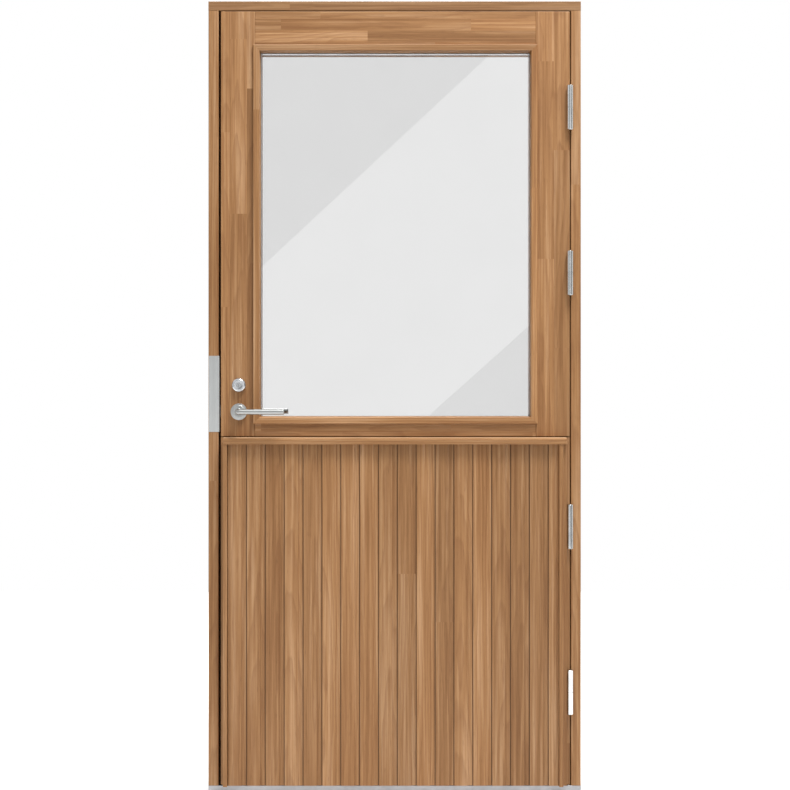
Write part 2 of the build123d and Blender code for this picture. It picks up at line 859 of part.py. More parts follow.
def board_outline(x0, last):
    """Section of a board: raised face, lower step, tongue on the right, groove on the left."""
    left = x0 + board_gap / 2
    groove_end = x0 - board_gap / 2 + tongue_long + tongue_play
    groove_front = tongue_y - tongue_thick - tongue_play
    groove_back = tongue_y + tongue_play
    points = [
        (left, front),
        (left, groove_back),
        (groove_end, groove_back),
        (groove_end, groove_front),
        (left, groove_front),
        (left, board_y),
    ]
    if last:
        return points + [(field_right, board_y), (field_right, front)]
    right = x0 + board_pitch - board_gap / 2
    step_x = right - board_lip
    return points + [
        (step_x, board_y),
        (step_x, board_y + board_step),
        (right, board_y + board_step),
        (right, tongue_y - tongue_thick),
        (right + tongue_long, tongue_y - tongue_thick),
        (right + tongue_long, tongue_y),
        (right, tongue_y),
        (right, front),
    ]


for number in range(board_count):
    with BuildPart() as board:
        with BuildSketch(Plane.XY.offset(leaf_bottom)):
            face_of(board_outline(field_left + number * board_pitch, number == board_count - 1))
        extrude(amount=board_top - leaf_bottom)
        fillet(board.edges().filter_by(Axis.Z).group_by(Axis.Y)[0], board_round)
    board.part.label = f"board_{number + 1}"
    export_step(board.part, f"parts/board_{number + 1}.step")

strip_left = leaf_left + strip_inset_lock
strip_right = leaf_right - strip_inset_hinge
strip_y = front - strip_proud


# The strips stand proud of the boards and are notched under the drip moulding.
# The one on the hinge side steps back to the boards' level beside the barrels.
with BuildPart() as edge_strips:
    with BuildSketch(Plane.XY.offset(leaf_bottom)):
        face_of([
            (strip_left, front),
            (strip_left, strip_y),
            (field_left, strip_y),
            (field_left, front),
        ])
        face_of([
            (field_right, front),
            (field_right, strip_y),
            (field_right + strip_face_hinge, strip_y),
            (field_right + strip_face_hinge, board_y),
            (strip_right, board_y),
            (strip_right, front),
        ])
    extrude(amount=board_top - leaf_bottom)
    fillet(edge_strips.edges().filter_by(Axis.Z).group_by(Axis.Y)[0], arris)
    cut_box(strip_left, strip_right, strip_y, board_y, mould_bottom, board_top)
edge_strips.part.label = "edge_strips"
export_step(edge_strips.part, "parts/edge_strips.step")

# Drip moulding over the boards' top ends, with a drip groove under its nose
mould_y = front - mould_proud
with BuildPart() as drip_moulding:
    with BuildSketch(Plane.YZ.offset(strip_left)) as mould_section:
        face_of([
            (front, board_top),
            (board_y, board_top),
            (board_y, mould_bottom),
            (mould_y + drip_inset + drip_width, mould_bottom),
            (mould_y + drip_inset + drip_width, mould_bottom + drip_depth),
            (mould_y + drip_inset, mould_bottom + drip_depth),
            (mould_y + drip_inset, mould_bottom),
            (mould_y, mould_bottom),
            (mould_y, mould_top - mould_slope),
            (front, mould_top),
        ])
    extrude(amount=strip_right - strip_left)
    chamfer(drip_moulding.edges().filter_by(Axis.Z).group_by(Axis.Y)[0], mould_end_bevel)
    nose = drip_moulding.edges().filter_by(Axis.X).group_by(Axis.Y)[0].sort_by(Axis.Z)[-1]
    fillet(nose, mould_round)
drip_moulding.part.label = "drip_moulding"
export_step(drip_moulding.part, "parts/drip_moulding.step")

# Lock: a mortise case with its faceplate, a latch, a dead bolt and the handle's follower
latch_back = leaf_left + latch_length + channel_end
dead_back = leaf_left + dead_sink + dead_length + channel_end
with BuildPart() as lock_case:
    faceplate_plane = Plane(origin=(leaf_left, lock_y, faceplate_middle), x_dir=(0, 0, 1), z_dir=(1, 0, 0))
    with BuildSketch(faceplate_plane):
        SlotOverall(faceplate_height, faceplate_width)
    extrude(amount=faceplate_thick)
    with BuildSketch(Plane.XY.offset(case_bottom)):
        with Locations((leaf_left + (faceplate_thick + backset + case_back) / 2, lock_y)):
            Rectangle(backset + case_back - faceplate_thick, case_thick)
    extrude(amount=case_top - case_bottom)
    cut_bolt_pocket(leaf_left, latch_back, handle_height, bolt_play)
    cut_bolt_pocket(leaf_left, dead_back, cylinder_height, bolt_play)
    rod((axis_x, case_front_y, handle_height), (0, 1, 0), follower_radius + follower_play,
        case_thick, mode=Mode.SUBTRACT)
    rod((axis_x, case_front_y, cylinder_height), (0, 1, 0), cam_radius, case_thick,
        mode=Mode.SUBTRACT)
    for point, direction in faceplate_points:
        cut_screw(point, direction)
lock_case.part.label = "lock_case"
export_step(lock_case.part, "parts/lock_case.step")

latch_tip = leaf_left - latch_throw
with BuildPart() as latch_bolt:
    with BuildSketch(Plane.XY.offset(handle_height - bolt_height / 2)):
        face_of([
            (latch_tip, lock_y - bolt_thick / 2),
            (latch_tip, lock_y + bolt_thick / 2 - latch_nose),
            (leaf_left - latch_flat, lock_y + bolt_thick / 2),
            (latch_tip + latch_length, lock_y + bolt_thick / 2),
            (latch_tip + latch_length, lock_y - bolt_thick / 2),
        ])
    extrude(amount=bolt_height)
latch_bolt.part.label = "latch_bolt"
export_step(latch_bolt.part, "parts/latch_bolt.step")

with BuildPart() as dead_bolt:
    with BuildSketch(Plane.YZ.offset(leaf_left + dead_sink)):
        with Locations((lock_y, cylinder_height)):
            Rectangle(bolt_thick, bolt_height)
    extrude(amount=dead_length)
    chamfer(dead_bolt.edges().group_by(Axis.X)[0], dead_bevel)
dead_bolt.part.label = "dead_bolt"
export_step(dead_bolt.part, "parts/dead_bolt.step")

with BuildPart() as follower:
    rod((axis_x, case_front_y, handle_height), (0, 1, 0), follower_radius, case_thick)
    with BuildSketch(upright(case_front_y)):
        with Locations((axis_x, handle_height)):
            Rectangle(spindle_side + 2 * spindle_play, spindle_side + 2 * spindle_play)
    extrude(amount=-case_thick, mode=Mode.SUBTRACT)
follower.part.label = "follower"
export_step(follower.part, "parts/follower.step")

with BuildPart() as spindle:
    with BuildSketch(upright(front - spindle_reach)):
        with Locations((axis_x, handle_height)):
            Rectangle(spindle_side, spindle_side)
    extrude(amount=-(leaf_thick + 2 * spindle_reach))
spindle.part.label = "spindle"
export_step(spindle.part, "parts/spindle.step")


# Furniture on the two faces of the leaf. Heights are measured out from the leaf's face.
def turned(center, outward, points, mode=Mode.ADD):
    """Turn an outline of (radius, height out from the face) about the axis through a center."""
    out = Vector(*outward)
    with BuildSketch(Plane(origin=center, x_dir=(1, 0, 0), z_dir=Vector(1, 0, 0).cross(out))) as half:
        face_of(points)
    revolve(half.sketch, axis=Axis(center, out), mode=mode)


outside = (0, -1, 0)
inside = (0, 1, 0)
handle_outside = (axis_x, front, handle_height)
handle_inside = (axis_x, leaf_back, handle_height)
cylinder_outside = (axis_x, front, cylinder_height)
turn_inside = (axis_x, leaf_back, cylinder_height)


def build_rose(center, outward):
    """A round rose with a raised middle, bored for the lever's collar."""
    bore = collar_radius + collar_play
    turned(center, outward, [
        (bore, 0),
        (rose_radius, 0),
        (rose_radius, rose_edge - rose_round),
        (rose_radius - rose_round, rose_edge),
        (rose_step_radius, rose_edge),
        (rose_step_radius, rose_thick),
        (bore, rose_thick),
    ])


with BuildPart() as outer_rose:
    build_rose(handle_outside, outside)
outer_rose.part.label = "outer_rose"
export_step(outer_rose.part, "parts/outer_rose.step")

with BuildPart() as inner_rose:
    build_rose(handle_inside, inside)
inner_rose.part.label = "inner_rose"
export_step(inner_rose.part, "parts/inner_rose.step")


def build_lever(center, outward):
    """A lever of round bar: collar, neck, bend and a slightly thicker grip with an end cap."""
    center = Vector(*center)
    out = Vector(*outward)
    along = Vector(1, 0, 0)
    rod(center + out * collar_base, out, collar_radius, collar_top - collar_base)
    grip = center + out * grip_out
    neck_start = center + out * (collar_top - neck_bury)
    with BuildLine() as path:
        FilletPolyline(neck_start, grip, grip + along * grip_start, radius=bend_radius)
    with BuildSketch(Plane(origin=neck_start, z_dir=out)) as neck:
        Circle(neck_radius)
    sweep(neck.sketch, path=path.wires()[0])
    cap_start = grip_reach - cap_length
    with BuildSketch(Plane(origin=grip, x_dir=along, z_dir=(0, 0, 1))) as half:
        face_of([
            (grip_start, 0),
            (grip_start, neck_radius),
            (grip_start + grip_swell, grip_radius),
            (cap_start, grip_radius),
            (cap_start, grip_radius - cap_groove),
            (cap_start + cap_groove_width, grip_radius - cap_groove),
            (cap_start + cap_groove_width, grip_radius),
            (grip_reach - cap_round, grip_radius),
            (grip_reach, grip_radius - cap_round),
            (grip_reach, 0),
        ])
    revolve(half.sketch, axis=Axis(grip, along))
    with BuildSketch(Plane(origin=center, x_dir=along, z_dir=out)) as square:
        Rectangle(spindle_side + 2 * spindle_play, spindle_side + 2 * spindle_play)
    extrude(square.sketch, amount=spindle_reach + spindle_play, mode=Mode.SUBTRACT)


with BuildPart() as lever_outside:
    build_lever(handle_outside, outside)
lever_outside.part.label = "lever_outside"
export_step(lever_outside.part, "parts/lever_outside.step")

with BuildPart() as lever_inside:
    build_lever(handle_inside, inside)
lever_inside.part.label = "lever_inside"
export_step(lever_inside.part, "parts/lever_inside.step")

# Cylinder outdoors, with its plug, and a thumb turn indoors
body_end = front - case_front_y
with BuildPart() as lock_cylinder:
    bore = plug_radius + plug_play
    turned(cylinder_outside, outside, [
        (bore, body_end),
        (cyl_body_radius, body_end),
        (cyl_body_radius, 0),
        (cyl_ring_radius, 0),
        (cyl_ring_radius, cyl_edge),
        ((cyl_ring_radius + cyl_rim_radius) / 2 + cyl_swell, (cyl_edge + cyl_proud) / 2 + cyl_swell),
        (cyl_rim_radius, cyl_proud),
        (cyl_dish_radius, cyl_proud),
        (cyl_dish_radius, cyl_proud - cyl_dish),
        (bore, cyl_proud - cyl_dish),
    ])
lock_cylinder.part.label = "lock_cylinder"
export_step(lock_cylinder.part, "parts/lock_cylinder.step")

plug_face = cyl_proud - cyl_dish + plug_proud
with BuildPart() as cylinder_plug:
    rod((axis_x, case_front_y, cylinder_height), outside, plug_radius, plug_face - body_end)
    with BuildSketch(upright(front - plug_face)):
        with Locations((axis_x, cylinder_height)):
            Rectangle(key_slot_width, key_slot_height)
    extrude(amount=-key_slot_depth, mode=Mode.SUBTRACT)
    with BuildSketch(upright(case_front_y)):
        with Locations((axis_x, cylinder_height)):
            Rectangle(tail_thick, tail_width)
    extrude(amount=-tail_long)
cylinder_plug.part.label = "cylinder_plug"
export_step(cylinder_plug.part, "parts/cylinder_plug.step")

with BuildPart() as turn_rose:
    bore = turn_shaft_radius + turn_shaft_play
    turned(turn_inside, inside, [
        (bore, 0),
        (turn_rose_radius, 0),
        (turn_rose_radius, turn_rose_thick - rose_round),
        (turn_rose_radius - rose_round, turn_rose_thick),
        (bore, turn_rose_thick),
    ])
turn_rose.part.label = "turn_rose"
export_step(turn_rose.part, "parts/turn_rose.step")

turn_shaft_start = lock_y + case_thick / 2 - tail_long
turn_wing_y = leaf_back + turn_wing_start
with BuildPart() as thumb_turn:
    rod((axis_x, turn_shaft_start, cylinder_height), inside, turn_shaft_radius,
        turn_wing_y - turn_shaft_start)
    turn_neck_y = leaf_back + turn_rose_thick + turn_neck_gap
    rod((axis_x, turn_neck_y, cylinder_height), inside, turn_neck_radius, turn_wing_y - turn_neck_y)
    with BuildSketch(Plane(origin=(axis_x, turn_wing_y, cylinder_height), x_dir=(0, 0, 1), z_dir=inside)):
        SlotOverall(turn_wing_length, turn_wing_width)
    extrude(amount=turn_wing_end - turn_wing_start)
    fillet(thumb_turn.edges().group_by(Axis.Y)[-1], turn_wing_round)
thumb_turn.part.label = "thumb_turn"
export_step(thumb_turn.part, "parts/thumb_turn.step")
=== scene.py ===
"""Looks of a glazed exterior door in its frame, built round its packed construction."""
from __future__ import annotations

import logging
import math
from dataclasses import dataclass
from enum import Enum
from typing import Any, Sequence, Union

import bpy
import numpy as np
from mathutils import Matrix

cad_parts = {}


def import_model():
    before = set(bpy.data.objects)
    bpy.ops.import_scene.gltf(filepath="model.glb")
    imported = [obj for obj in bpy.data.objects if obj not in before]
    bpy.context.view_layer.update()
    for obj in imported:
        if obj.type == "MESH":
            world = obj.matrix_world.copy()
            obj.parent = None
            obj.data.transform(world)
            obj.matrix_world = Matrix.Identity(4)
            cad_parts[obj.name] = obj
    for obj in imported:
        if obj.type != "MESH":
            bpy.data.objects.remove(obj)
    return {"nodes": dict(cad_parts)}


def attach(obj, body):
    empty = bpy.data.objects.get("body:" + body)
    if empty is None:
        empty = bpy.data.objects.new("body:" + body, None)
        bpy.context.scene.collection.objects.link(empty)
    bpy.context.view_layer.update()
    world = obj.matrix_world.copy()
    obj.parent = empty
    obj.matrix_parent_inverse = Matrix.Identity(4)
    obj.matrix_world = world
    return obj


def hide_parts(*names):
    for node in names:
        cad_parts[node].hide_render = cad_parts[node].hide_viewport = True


log = logging.getLogger("door")

Rgb = tuple[float, float, float]
Vec = tuple[float, float, float]
Number = Union[int, float]


def srgb(red: Number, green: Number, blue: Number) -> Rgb:
    """Turn an 8-bit display colour into the linear colour that a shader takes.

    Args:
        red: Red, 0 to 255.
        green: Green, 0 to 255.
        blue: Blue, 0 to 255.

    Returns:
        The linear colour: each share c is c / 12.92 below 0.04045, and
        ((c + 0.055) / 1.055) to the power 2.4 above it.
    """
    shares = np.array([red, green, blue], dtype=float) / 255.0
    linear = np.where(shares <= 0.04045, shares / 12.92, ((shares + 0.055) / 1.055) ** 2.4)
    return tuple(float(c) for c in linear)


def shaded(colour: Rgb, level: float) -> Rgb:
    """The linear colour of a display colour at another level, no share over 255."""
    return srgb(*(min(255.0, c * level) for c in colour))


class Axis(Enum):
    """A direction of the row frame, by its place in a vector."""

    X = 0
    Y = 1
    Z = 2


class Facing(Enum):
    """A side of the leaf: its face in metres along Y, and -1 outdoors or 1 indoors."""

    OUTDOORS = (-0.0575, -1)
    INDOORS = (0.0045, 1)

    @property
    def face(self) -> float:
        """The leaf's face there, in metres along Y."""
        return self.value[0]

    @property
    def out(self) -> int:
        """The sign of Y away from the leaf."""
        return self.value[1]


class Socket:
    """A shader output that takes part in arithmetic; every operator adds a Math node."""

    def __init__(self, graph: Graph, output: bpy.types.NodeSocket) -> None:
        """Keep the graph and the node output that this socket stands for."""
        self.graph = graph
        self.output = output

    def __add__(self, other: Term) -> Socket:
        """Sum of the two."""
        return self.graph.math("ADD", self, other)

    __radd__ = __add__

    def __sub__(self, other: Term) -> Socket:
        """This less the other."""
        return self.graph.math("SUBTRACT", self, other)

    def __rsub__(self, other: Term) -> Socket:
        """The other less this."""
        return self.graph.math("SUBTRACT", other, self)

    def __mul__(self, other: Term) -> Socket:
        """Product of the two."""
        return self.graph.math("MULTIPLY", self, other)

    __rmul__ = __mul__

    def __truediv__(self, other: Term) -> Socket:
        """This divided by the other."""
        return self.graph.math("DIVIDE", self, other)

    def __rtruediv__(self, other: Term) -> Socket:
        """The other divided by this."""
        return self.graph.math("DIVIDE", other, self)

    def __pow__(self, other: Term) -> Socket:
        """This to the power of the other."""
        return self.graph.math("POWER", self, other)

    def __rpow__(self, other: Term) -> Socket:
        """The other to the power of this."""
        return self.graph.math("POWER", other, self)

    def __gt__(self, other: Term) -> Socket:
        """1 where this is the greater, else 0."""
        return self.graph.math("GREATER_THAN", self, other)

    def __lt__(self, other: Term) -> Socket:
        """1 where this is the smaller, else 0; the reflected form of the one above."""
        return self.graph.math("LESS_THAN", self, other)

    def floor(self) -> Socket:
        """Whole part, rounded down."""
        return self.graph.math("FLOOR", self)

    def fract(self) -> Socket:
        """What is left over the whole part."""
        return self.graph.math("FRACT", self)

    def root(self) -> Socket:
        """Square root."""
        return self.graph.math("SQRT", self)

    def absolute(self) -> Socket:
        """Size without sign."""
        return self.graph.math("ABSOLUTE", self)

    def clamped(self) -> Socket:
        """This, kept between 0 and 1."""
        return self.graph.math("ADD", self, 0.0, clamp=True)


Term = Union[Socket, Number]


class Graph:
    """The node tree of one material or world, built up by method calls."""

    def __init__(self, owner: Union[bpy.types.Material, bpy.types.World]) -> None:
        """Empty the owner's node tree.

        Args:
            owner: The material or world that the tree belongs to.
        """
        owner.use_nodes = True
        self.owner = owner
        self.tree = owner.node_tree
        self.tree.nodes.clear()

    def node(self, kind: str, settings: dict[str, Any], inputs: dict[Any, Any]) -> bpy.types.Node:
        """Add a node, set it up and feed its sockets.

        Args:
            kind: Node type, such as "ShaderNodeMath".
            settings: The node's own settings; "stops" holds a ramp's (place, colour) pairs.
            inputs: Socket name or number to a Socket, a number or a tuple.

        Returns:
            The new node.
        """
        made = self.tree.nodes.new(kind)
        for key, value in settings.items():
            if key == "stops":
                ramp = made.color_ramp
                while len(ramp.elements) < len(value):
                    ramp.elements.new(1.0)
                for element, (place, colour) in zip(ramp.elements, value):
                    element.position = place
                    element.color = (*colour, 1.0)
            else:
                setattr(made, key, value)
        for key, value in inputs.items():
            if isinstance(value, Socket):
                self.tree.links.new(value.output, made.inputs[key])
            else:
                made.inputs[key].default_value = value
        return made

    def out(self, node: bpy.types.Node, name: Union[str, int] = 0) -> Socket:
        """One output of a node, as a Socket."""
        return Socket(self, node.outputs[name])

    def math(self, operation: str, *terms: Term, clamp: bool = False) -> Socket:
        """Add a Math node.

        Args:
            operation: Its operation.
            terms: Its one to three inputs.
            clamp: Whether its result is kept between 0 and 1.

        Returns:
            Its result.
        """
        settings = {"operation": operation, "use_clamp": clamp}
        return self.out(self.node("ShaderNodeMath", settings, dict(enumerate(terms))))

    def place(self) -> tuple[Socket, Socket, Socket]:
        """Read where the shaded point lies.

        Returns:
            Its x, y and z in the row frame, in metres.
        """
        coords = self.out(self.node("ShaderNodeTexCoord", {}, {}), "Object")
        split = self.node("ShaderNodeSeparateXYZ", {}, {0: coords})
        return self.out(split, 0), self.out(split, 1), self.out(split, 2)

    def vector(self, x: Term, y: Term, z: Term) -> Socket:
        """A vector made from three values."""
        return self.out(self.node("ShaderNodeCombineXYZ", {}, {0: x, 1: y, 2: z}))

    def noise(self, vector: Socket, scale: float, detail: float, rough: float) -> Socket:
        """Smooth noise between 0 and 1 at a vector.

        Args:
            vector: Where it is read.
            scale: Features per unit of the vector.
            detail: Octaves.
            rough: Strength of each octave over the one before.

        Returns:
            The noise.
        """
        inputs = {"Vector": vector, "Scale": scale, "Detail": detail, "Roughness": rough}
        return self.out(self.node("ShaderNodeTexNoise", {}, inputs), "Fac")

    def random(self, vector: Socket) -> tuple[Socket, Socket]:
        """A random value and a random colour that stay the same for one vector."""
        made = self.node("ShaderNodeTexWhiteNoise", {"noise_dimensions": "3D"}, {"Vector": vector})
        return self.out(made, "Value"), self.out(made, "Color")

    def ramp(self, value: Socket, stops: Sequence[tuple[float, Rgb]]) -> Socket:
        """The colour that a value picks from a row of stops."""
        made = self.node("ShaderNodeValToRGB", {"stops": list(stops)}, {"Fac": value})
        return self.out(made, "Color")

    def mix(self, share: Term, first: Union[Socket, Rgb], second: Union[Socket, Rgb],
            blend: str = "MIX") -> Socket:
        """Blend two colours.

        Args:
            share: How much of the second, 0 to 1.
            first: First colour.
            second: Second colour.
            blend: Kind of blend, such as "MULTIPLY".

        Returns:
            The colour.
        """
        ends = [c if isinstance(c, Socket) else (*c, 1.0) for c in (first, second)]
        made = self.node("ShaderNodeMix", {"data_type": "RGBA", "blend_type": blend},
                         {0: share, 6: ends[0], 7: ends[1]})
        return self.out(made, 2)

    def bump(self, height: Socket, depth: float, strength: float) -> Socket:
        """A normal bent by a height from 0 to 1, which stands for a depth in metres."""
        inputs = {"Height": height, "Distance": depth, "Strength": strength}
        return self.out(self.node("ShaderNodeBump", {}, inputs))

    def seen(self) -> Socket:
        """Find the rays that show the white surround.

        Returns:
            1 for what the camera sees directly, in a mirror or through glass, else 0.
        """
        path = self.node("ShaderNodeLightPath", {}, {})
        rays = [self.out(path, f"Is {kind} Ray") for kind in ("Camera", "Glossy", "Transmission")]
        return (rays[0] + rays[1] + rays[2]).clamped()

    def surface(self, **inputs: Any) -> bpy.types.Material:
        """Close the tree with a Principled shader.

        Args:
            inputs: Its sockets, with an underscore for a space.

        Returns:
            The finished material.
        """
        fed = {key.replace("_", " "): value for key, value in inputs.items()}
        shader = self.out(self.node("ShaderNodeBsdfPrincipled", {}, fed))
        self.node("ShaderNodeOutputMaterial", {}, {"Surface": shader})
        return self.owner


@dataclass(frozen=True)
class Streaks:
    """Noise that is drawn out along the grain.

    Attributes:
        wide: Features per metre across the grain.
        long: Features per metre along the grain.
        step: How far the pattern moves from one glued piece to the next.
        octaves: Octaves of the noise.
        rough: Strength of each octave over the one before.
    """

    wide: float
    long: float
    step: float
    octaves: float
    rough: float


RING_BEND = Streaks(11.0, 2.1, 31.0, 3.0, 0.60)
FIBRE = Streaks(900.0, 9.0, 57.0, 3.0, 0.60)
STREAK = Streaks(150.0, 2.6, 13.0, 4.0, 0.62)
CLOUD = Streaks(17.0, 1.3, 5.0, 2.0, 0.50)
PORE = Streaks(1500.0, 42.0, 0.0, 1.0, 0.50)


# The log's heart, in metres: the band that it lies in about a piece's middle, its least distance
# outdoors of Y = 0, how much further it may lie, and the ranges of its drift and slant per metre.
HEART_BAND = 0.05
HEART_OUT = 0.075
HEART_FURTHER = 0.05
HEART_DRIFT = 0.02
HEART_SLANT = 0.075

# How far noise bends the rings, in metres, by how many rings the pieces differ, and the share of a
# ring at which the late wood ends.
RING_WANDER = 0.03
RING_STEP = 9.0
LATE_END = 0.88

# Display colours of the wood; those of the stain go with the value of its streaks.
STAIN = ((0.36, (134, 92, 54)), (0.50, (160, 117, 75)), (0.64, (184, 144, 105)))
LATE_WOOD = (115, 73, 41)
DARK_FIBRE = (120, 78, 43)
DARK_PORE = (82, 50, 28)
# Painted shade: the dark line along the board joints, where shade falls in the grooves.
JOINT_PAINTED_SHADE = (62, 36, 19)
# Painted highlight: the lighter top of the drip moulding, as if lit from above.
TOP_PAINTED_HIGHLIGHT = (232, 196, 156)


@dataclass(frozen=True)
class StainedWood:
    """Stained softwood under a satin varnish, glued up from narrow lamellas.

    Attributes:
        name: Name of the material.
        grain: The direction that the grain runs in.
        across: The direction in which one lamella follows another.
        start: Where the first lamella starts, in metres.
        pitch: Width of a lamella, in metres.
        block: Length of the finger-jointed pieces in a lamella, in metres.
        seed: Moves the pattern, so that no two parts are cut from one piece.
        tone_spread: How much the pieces differ in tone.
        ring_width: Width of a growth ring, in metres.
        joint: Half width of the painted shade along the board joints, in metres; 0 for none.
        highlight_above: Height above which a painted highlight lightens the top, in metres; 0 for
            none.
        level: Brightness of the stain; on the beads it paints light and shade, the head bead darker
            and the hinge-side and foot beads lighter.
    """

    name: str
    grain: Axis
    across: Axis
    start: float
    pitch: float
    block: float
    seed: float
    tone_spread: float = 0.24
    ring_width: float = 0.0062
    joint: float = 0.0
    highlight_above: float = 0.0
    level: float = 1.0

    def material(self) -> bpy.types.Material:
        """Make the material.

        A lamella is the whole part of (across - start) / pitch, and a piece in it the whole part
        of along / block plus a random shift for each lamella. Each piece reads the growth rings at
        its own random place. A ring is the fraction left over of the distance from the log's heart
        over the ring width, bent by noise that is long along the grain. The heart runs at a slant
        to the face, so the rings close to arches along the piece.

        Returns:
            The material.
        """
        g = Graph(bpy.data.materials.new(self.name))
        point = g.place()
        along, across = point[self.grain.value], point[self.across.value]
        depth = point[3 - self.grain.value - self.across.value]
        lamella = ((across - self.start) / self.pitch).floor()
        shift, _ = g.random(g.vector(lamella, self.seed, 0.5))
        piece = (along / self.block + shift * 7.0).floor()
        tone, scatter = g.random(g.vector(lamella, piece, self.seed))

        def drawn(kind: Streaks) -> Socket:
            """Noise at (across * wide, depth * wide, along * long + tone * step)."""
            spot = g.vector(across * kind.wide, depth * kind.wide,
                            along * kind.long + tone * kind.step)
            return g.noise(spot, 1.0, kind.octaves, kind.rough)

        middle = self.start + (lamella + 0.5) * self.pitch
        late = self.late_wood(g, scatter, tone, along, across - middle, depth, drawn(RING_BEND))
        fibre = drawn(FIBRE)
        pore = ((drawn(PORE) - 0.64) * 9.0).clamped()
        base = g.ramp(drawn(STREAK) * 0.6 + drawn(CLOUD) * 0.4,
                      [(place, shaded(colour, self.level)) for place, colour in STAIN])
        ringed = g.mix(late * 0.42, base, shaded(LATE_WOOD, self.level))
        fibred = g.mix((fibre - 0.35) * 0.34, ringed, srgb(*DARK_FIBRE))
        pored = g.mix(pore * 0.4, fibred, srgb(*DARK_PORE))
        light = 1.0 + (tone - 0.5) * self.tone_spread
        grey = g.node("ShaderNodeCombineColor", {}, {0: light, 1: light, 2: light})
        colour = g.mix(1.0, pored, g.out(grey), "MULTIPLY")
        # Painted shade: a dark line along each board joint, standing in for the shade in the groove.
        if self.joint:
            off_joint = ((across - self.start) / self.pitch + 0.5).fract() - 0.5
            run = (1.5 - off_joint.absolute() * self.pitch / self.joint).clamped()
            colour = g.mix(run * 0.62, colour, srgb(*JOINT_PAINTED_SHADE))
        # Painted highlight: above this height the top is mixed lighter, as if it caught the light.
        if self.highlight_above:
            lit_top = ((across - self.highlight_above) / 0.0006).clamped()
            colour = g.mix(lit_top * 0.6, colour, srgb(*TOP_PAINTED_HIGHLIGHT))
        height = fibre * 0.4 + late * 0.4 - pore * 0.8
        return g.surface(
            Base_Color=colour,
            Roughness=0.46 + fibre * 0.16,
            Normal=g.bump(height, 0.00012, 0.6),
            Coat_Weight=0.06,
            Coat_Roughness=0.3,
            Specular_IOR_Level=0.3,
        )

    def late_wood(self, g: Graph, scatter: Socket, tone: Socket, along: Socket, aside: Socket,
                  depth: Socket, bend: Socket) -> Socket:
        """Draw the late wood, the square of the ring's fraction, which fades out at its end.

        Args:
            g: The material's graph.
            scatter: Random colour of the piece, which places its heart.
            tone: Random value of the piece.
            along: Place along the grain.
            aside: Place from the lamella's middle.
            depth: Place through the piece.
            bend: Noise that bends the rings.

        Returns:
            How much late wood shows, 0 to 1.
        """
        split = g.node("ShaderNodeSeparateColor", {}, {0: scatter})
        heart_a, heart_d, slope = (g.out(split, n) for n in range(3))
        from_a = aside + (heart_a - 0.5) * HEART_BAND + along * (slope - 0.5) * HEART_DRIFT
        from_d = (depth + heart_d * HEART_FURTHER + HEART_OUT
                  + along * (heart_d - 0.5) * HEART_SLANT)
        distance = (from_a * from_a + from_d * from_d).root() + (bend - 0.5) * RING_WANDER
        ring = (distance / self.ring_width + tone * RING_STEP).fract()
        fade = ((ring - LATE_END) / (1.0 - LATE_END)).clamped()
        return (ring ** 2.0) * (1.0 - fade)


@dataclass(frozen=True)
class BrushedSteel:
    """Stainless steel with fine brushing along one direction.

    Attributes:
        name: Name of the material.
        brushed: The direction of the brushing.
        colour: Display colour.
        rough: Mean roughness.
    """

    name: str
    brushed: Axis
    colour: Rgb = (170, 172, 171)
    rough: float = 0.38

    def lines(self, g: Graph, point: Sequence[Socket], wide: float, long: float,
              rough: float) -> Socket:
        """Noise of so many features per metre across the brushing and along it."""
        scales = [long if axis is self.brushed else wide for axis in Axis]
        return g.noise(g.vector(*(c * s for c, s in zip(point, scales))), 1.0, 2.0, rough)

    def material(self) -> bpy.types.Material:
        """Make the material: noise that is short across the brushing and long along it; its broad
        bands paint a sheen into the colour.

        Returns:
            The material.
        """
        g = Graph(bpy.data.materials.new(self.name))
        point = g.place()
        fine = self.lines(g, point, 2600.0, 45.0, 0.6)
        painted_sheen = self.lines(g, point, 90.0, 3.0, 0.5)
        spot = g.noise(g.vector(*point), 38.0, 3.0, 0.6)
        # Painted sheen: the broad bands along the brushing; the fine lines are the brushing itself.
        tone = g.ramp(painted_sheen * 0.6 + fine * 0.4, [
            (0.3, shaded(self.colour, 0.93)), (0.7, shaded(self.colour, 1.05))])
        return g.surface(
            Base_Color=tone,
            Metallic=1.0,
            Roughness=self.rough + (fine - 0.5) * 0.16 + (spot - 0.5) * 0.08,
            Normal=g.bump(fine, 0.00002, 0.5),
        )


@dataclass(frozen=True)
class PlainMetal:
    """Plated, polished or milled metal with faint stains.

    Attributes:
        name: Name of the material.
        colour: Display colour.
        rough: Mean roughness.
        stain: How far the roughness wanders.
    """

    name: str
    colour: Rgb
    rough: float
    stain: float = 0.08

    def material(self) -> bpy.types.Material:
        """Make the material: two sizes of noise move its tone and its roughness.

        Returns:
            The material.
        """
        g = Graph(bpy.data.materials.new(self.name))
        point = g.vector(*g.place())
        broad = g.noise(point, 26.0, 3.0, 0.6)
        fine = g.noise(point, 900.0, 2.0, 0.6)
        tone = g.ramp(broad, [(0.3, shaded(self.colour, 0.92)), (0.7, shaded(self.colour, 1.04))])
        return g.surface(
            Base_Color=tone,
            Metallic=1.0,
            Roughness=self.rough + (broad - 0.5) * self.stain + (fine - 0.5) * 0.05,
            Normal=g.bump(fine, 0.00001, 0.4),
        )


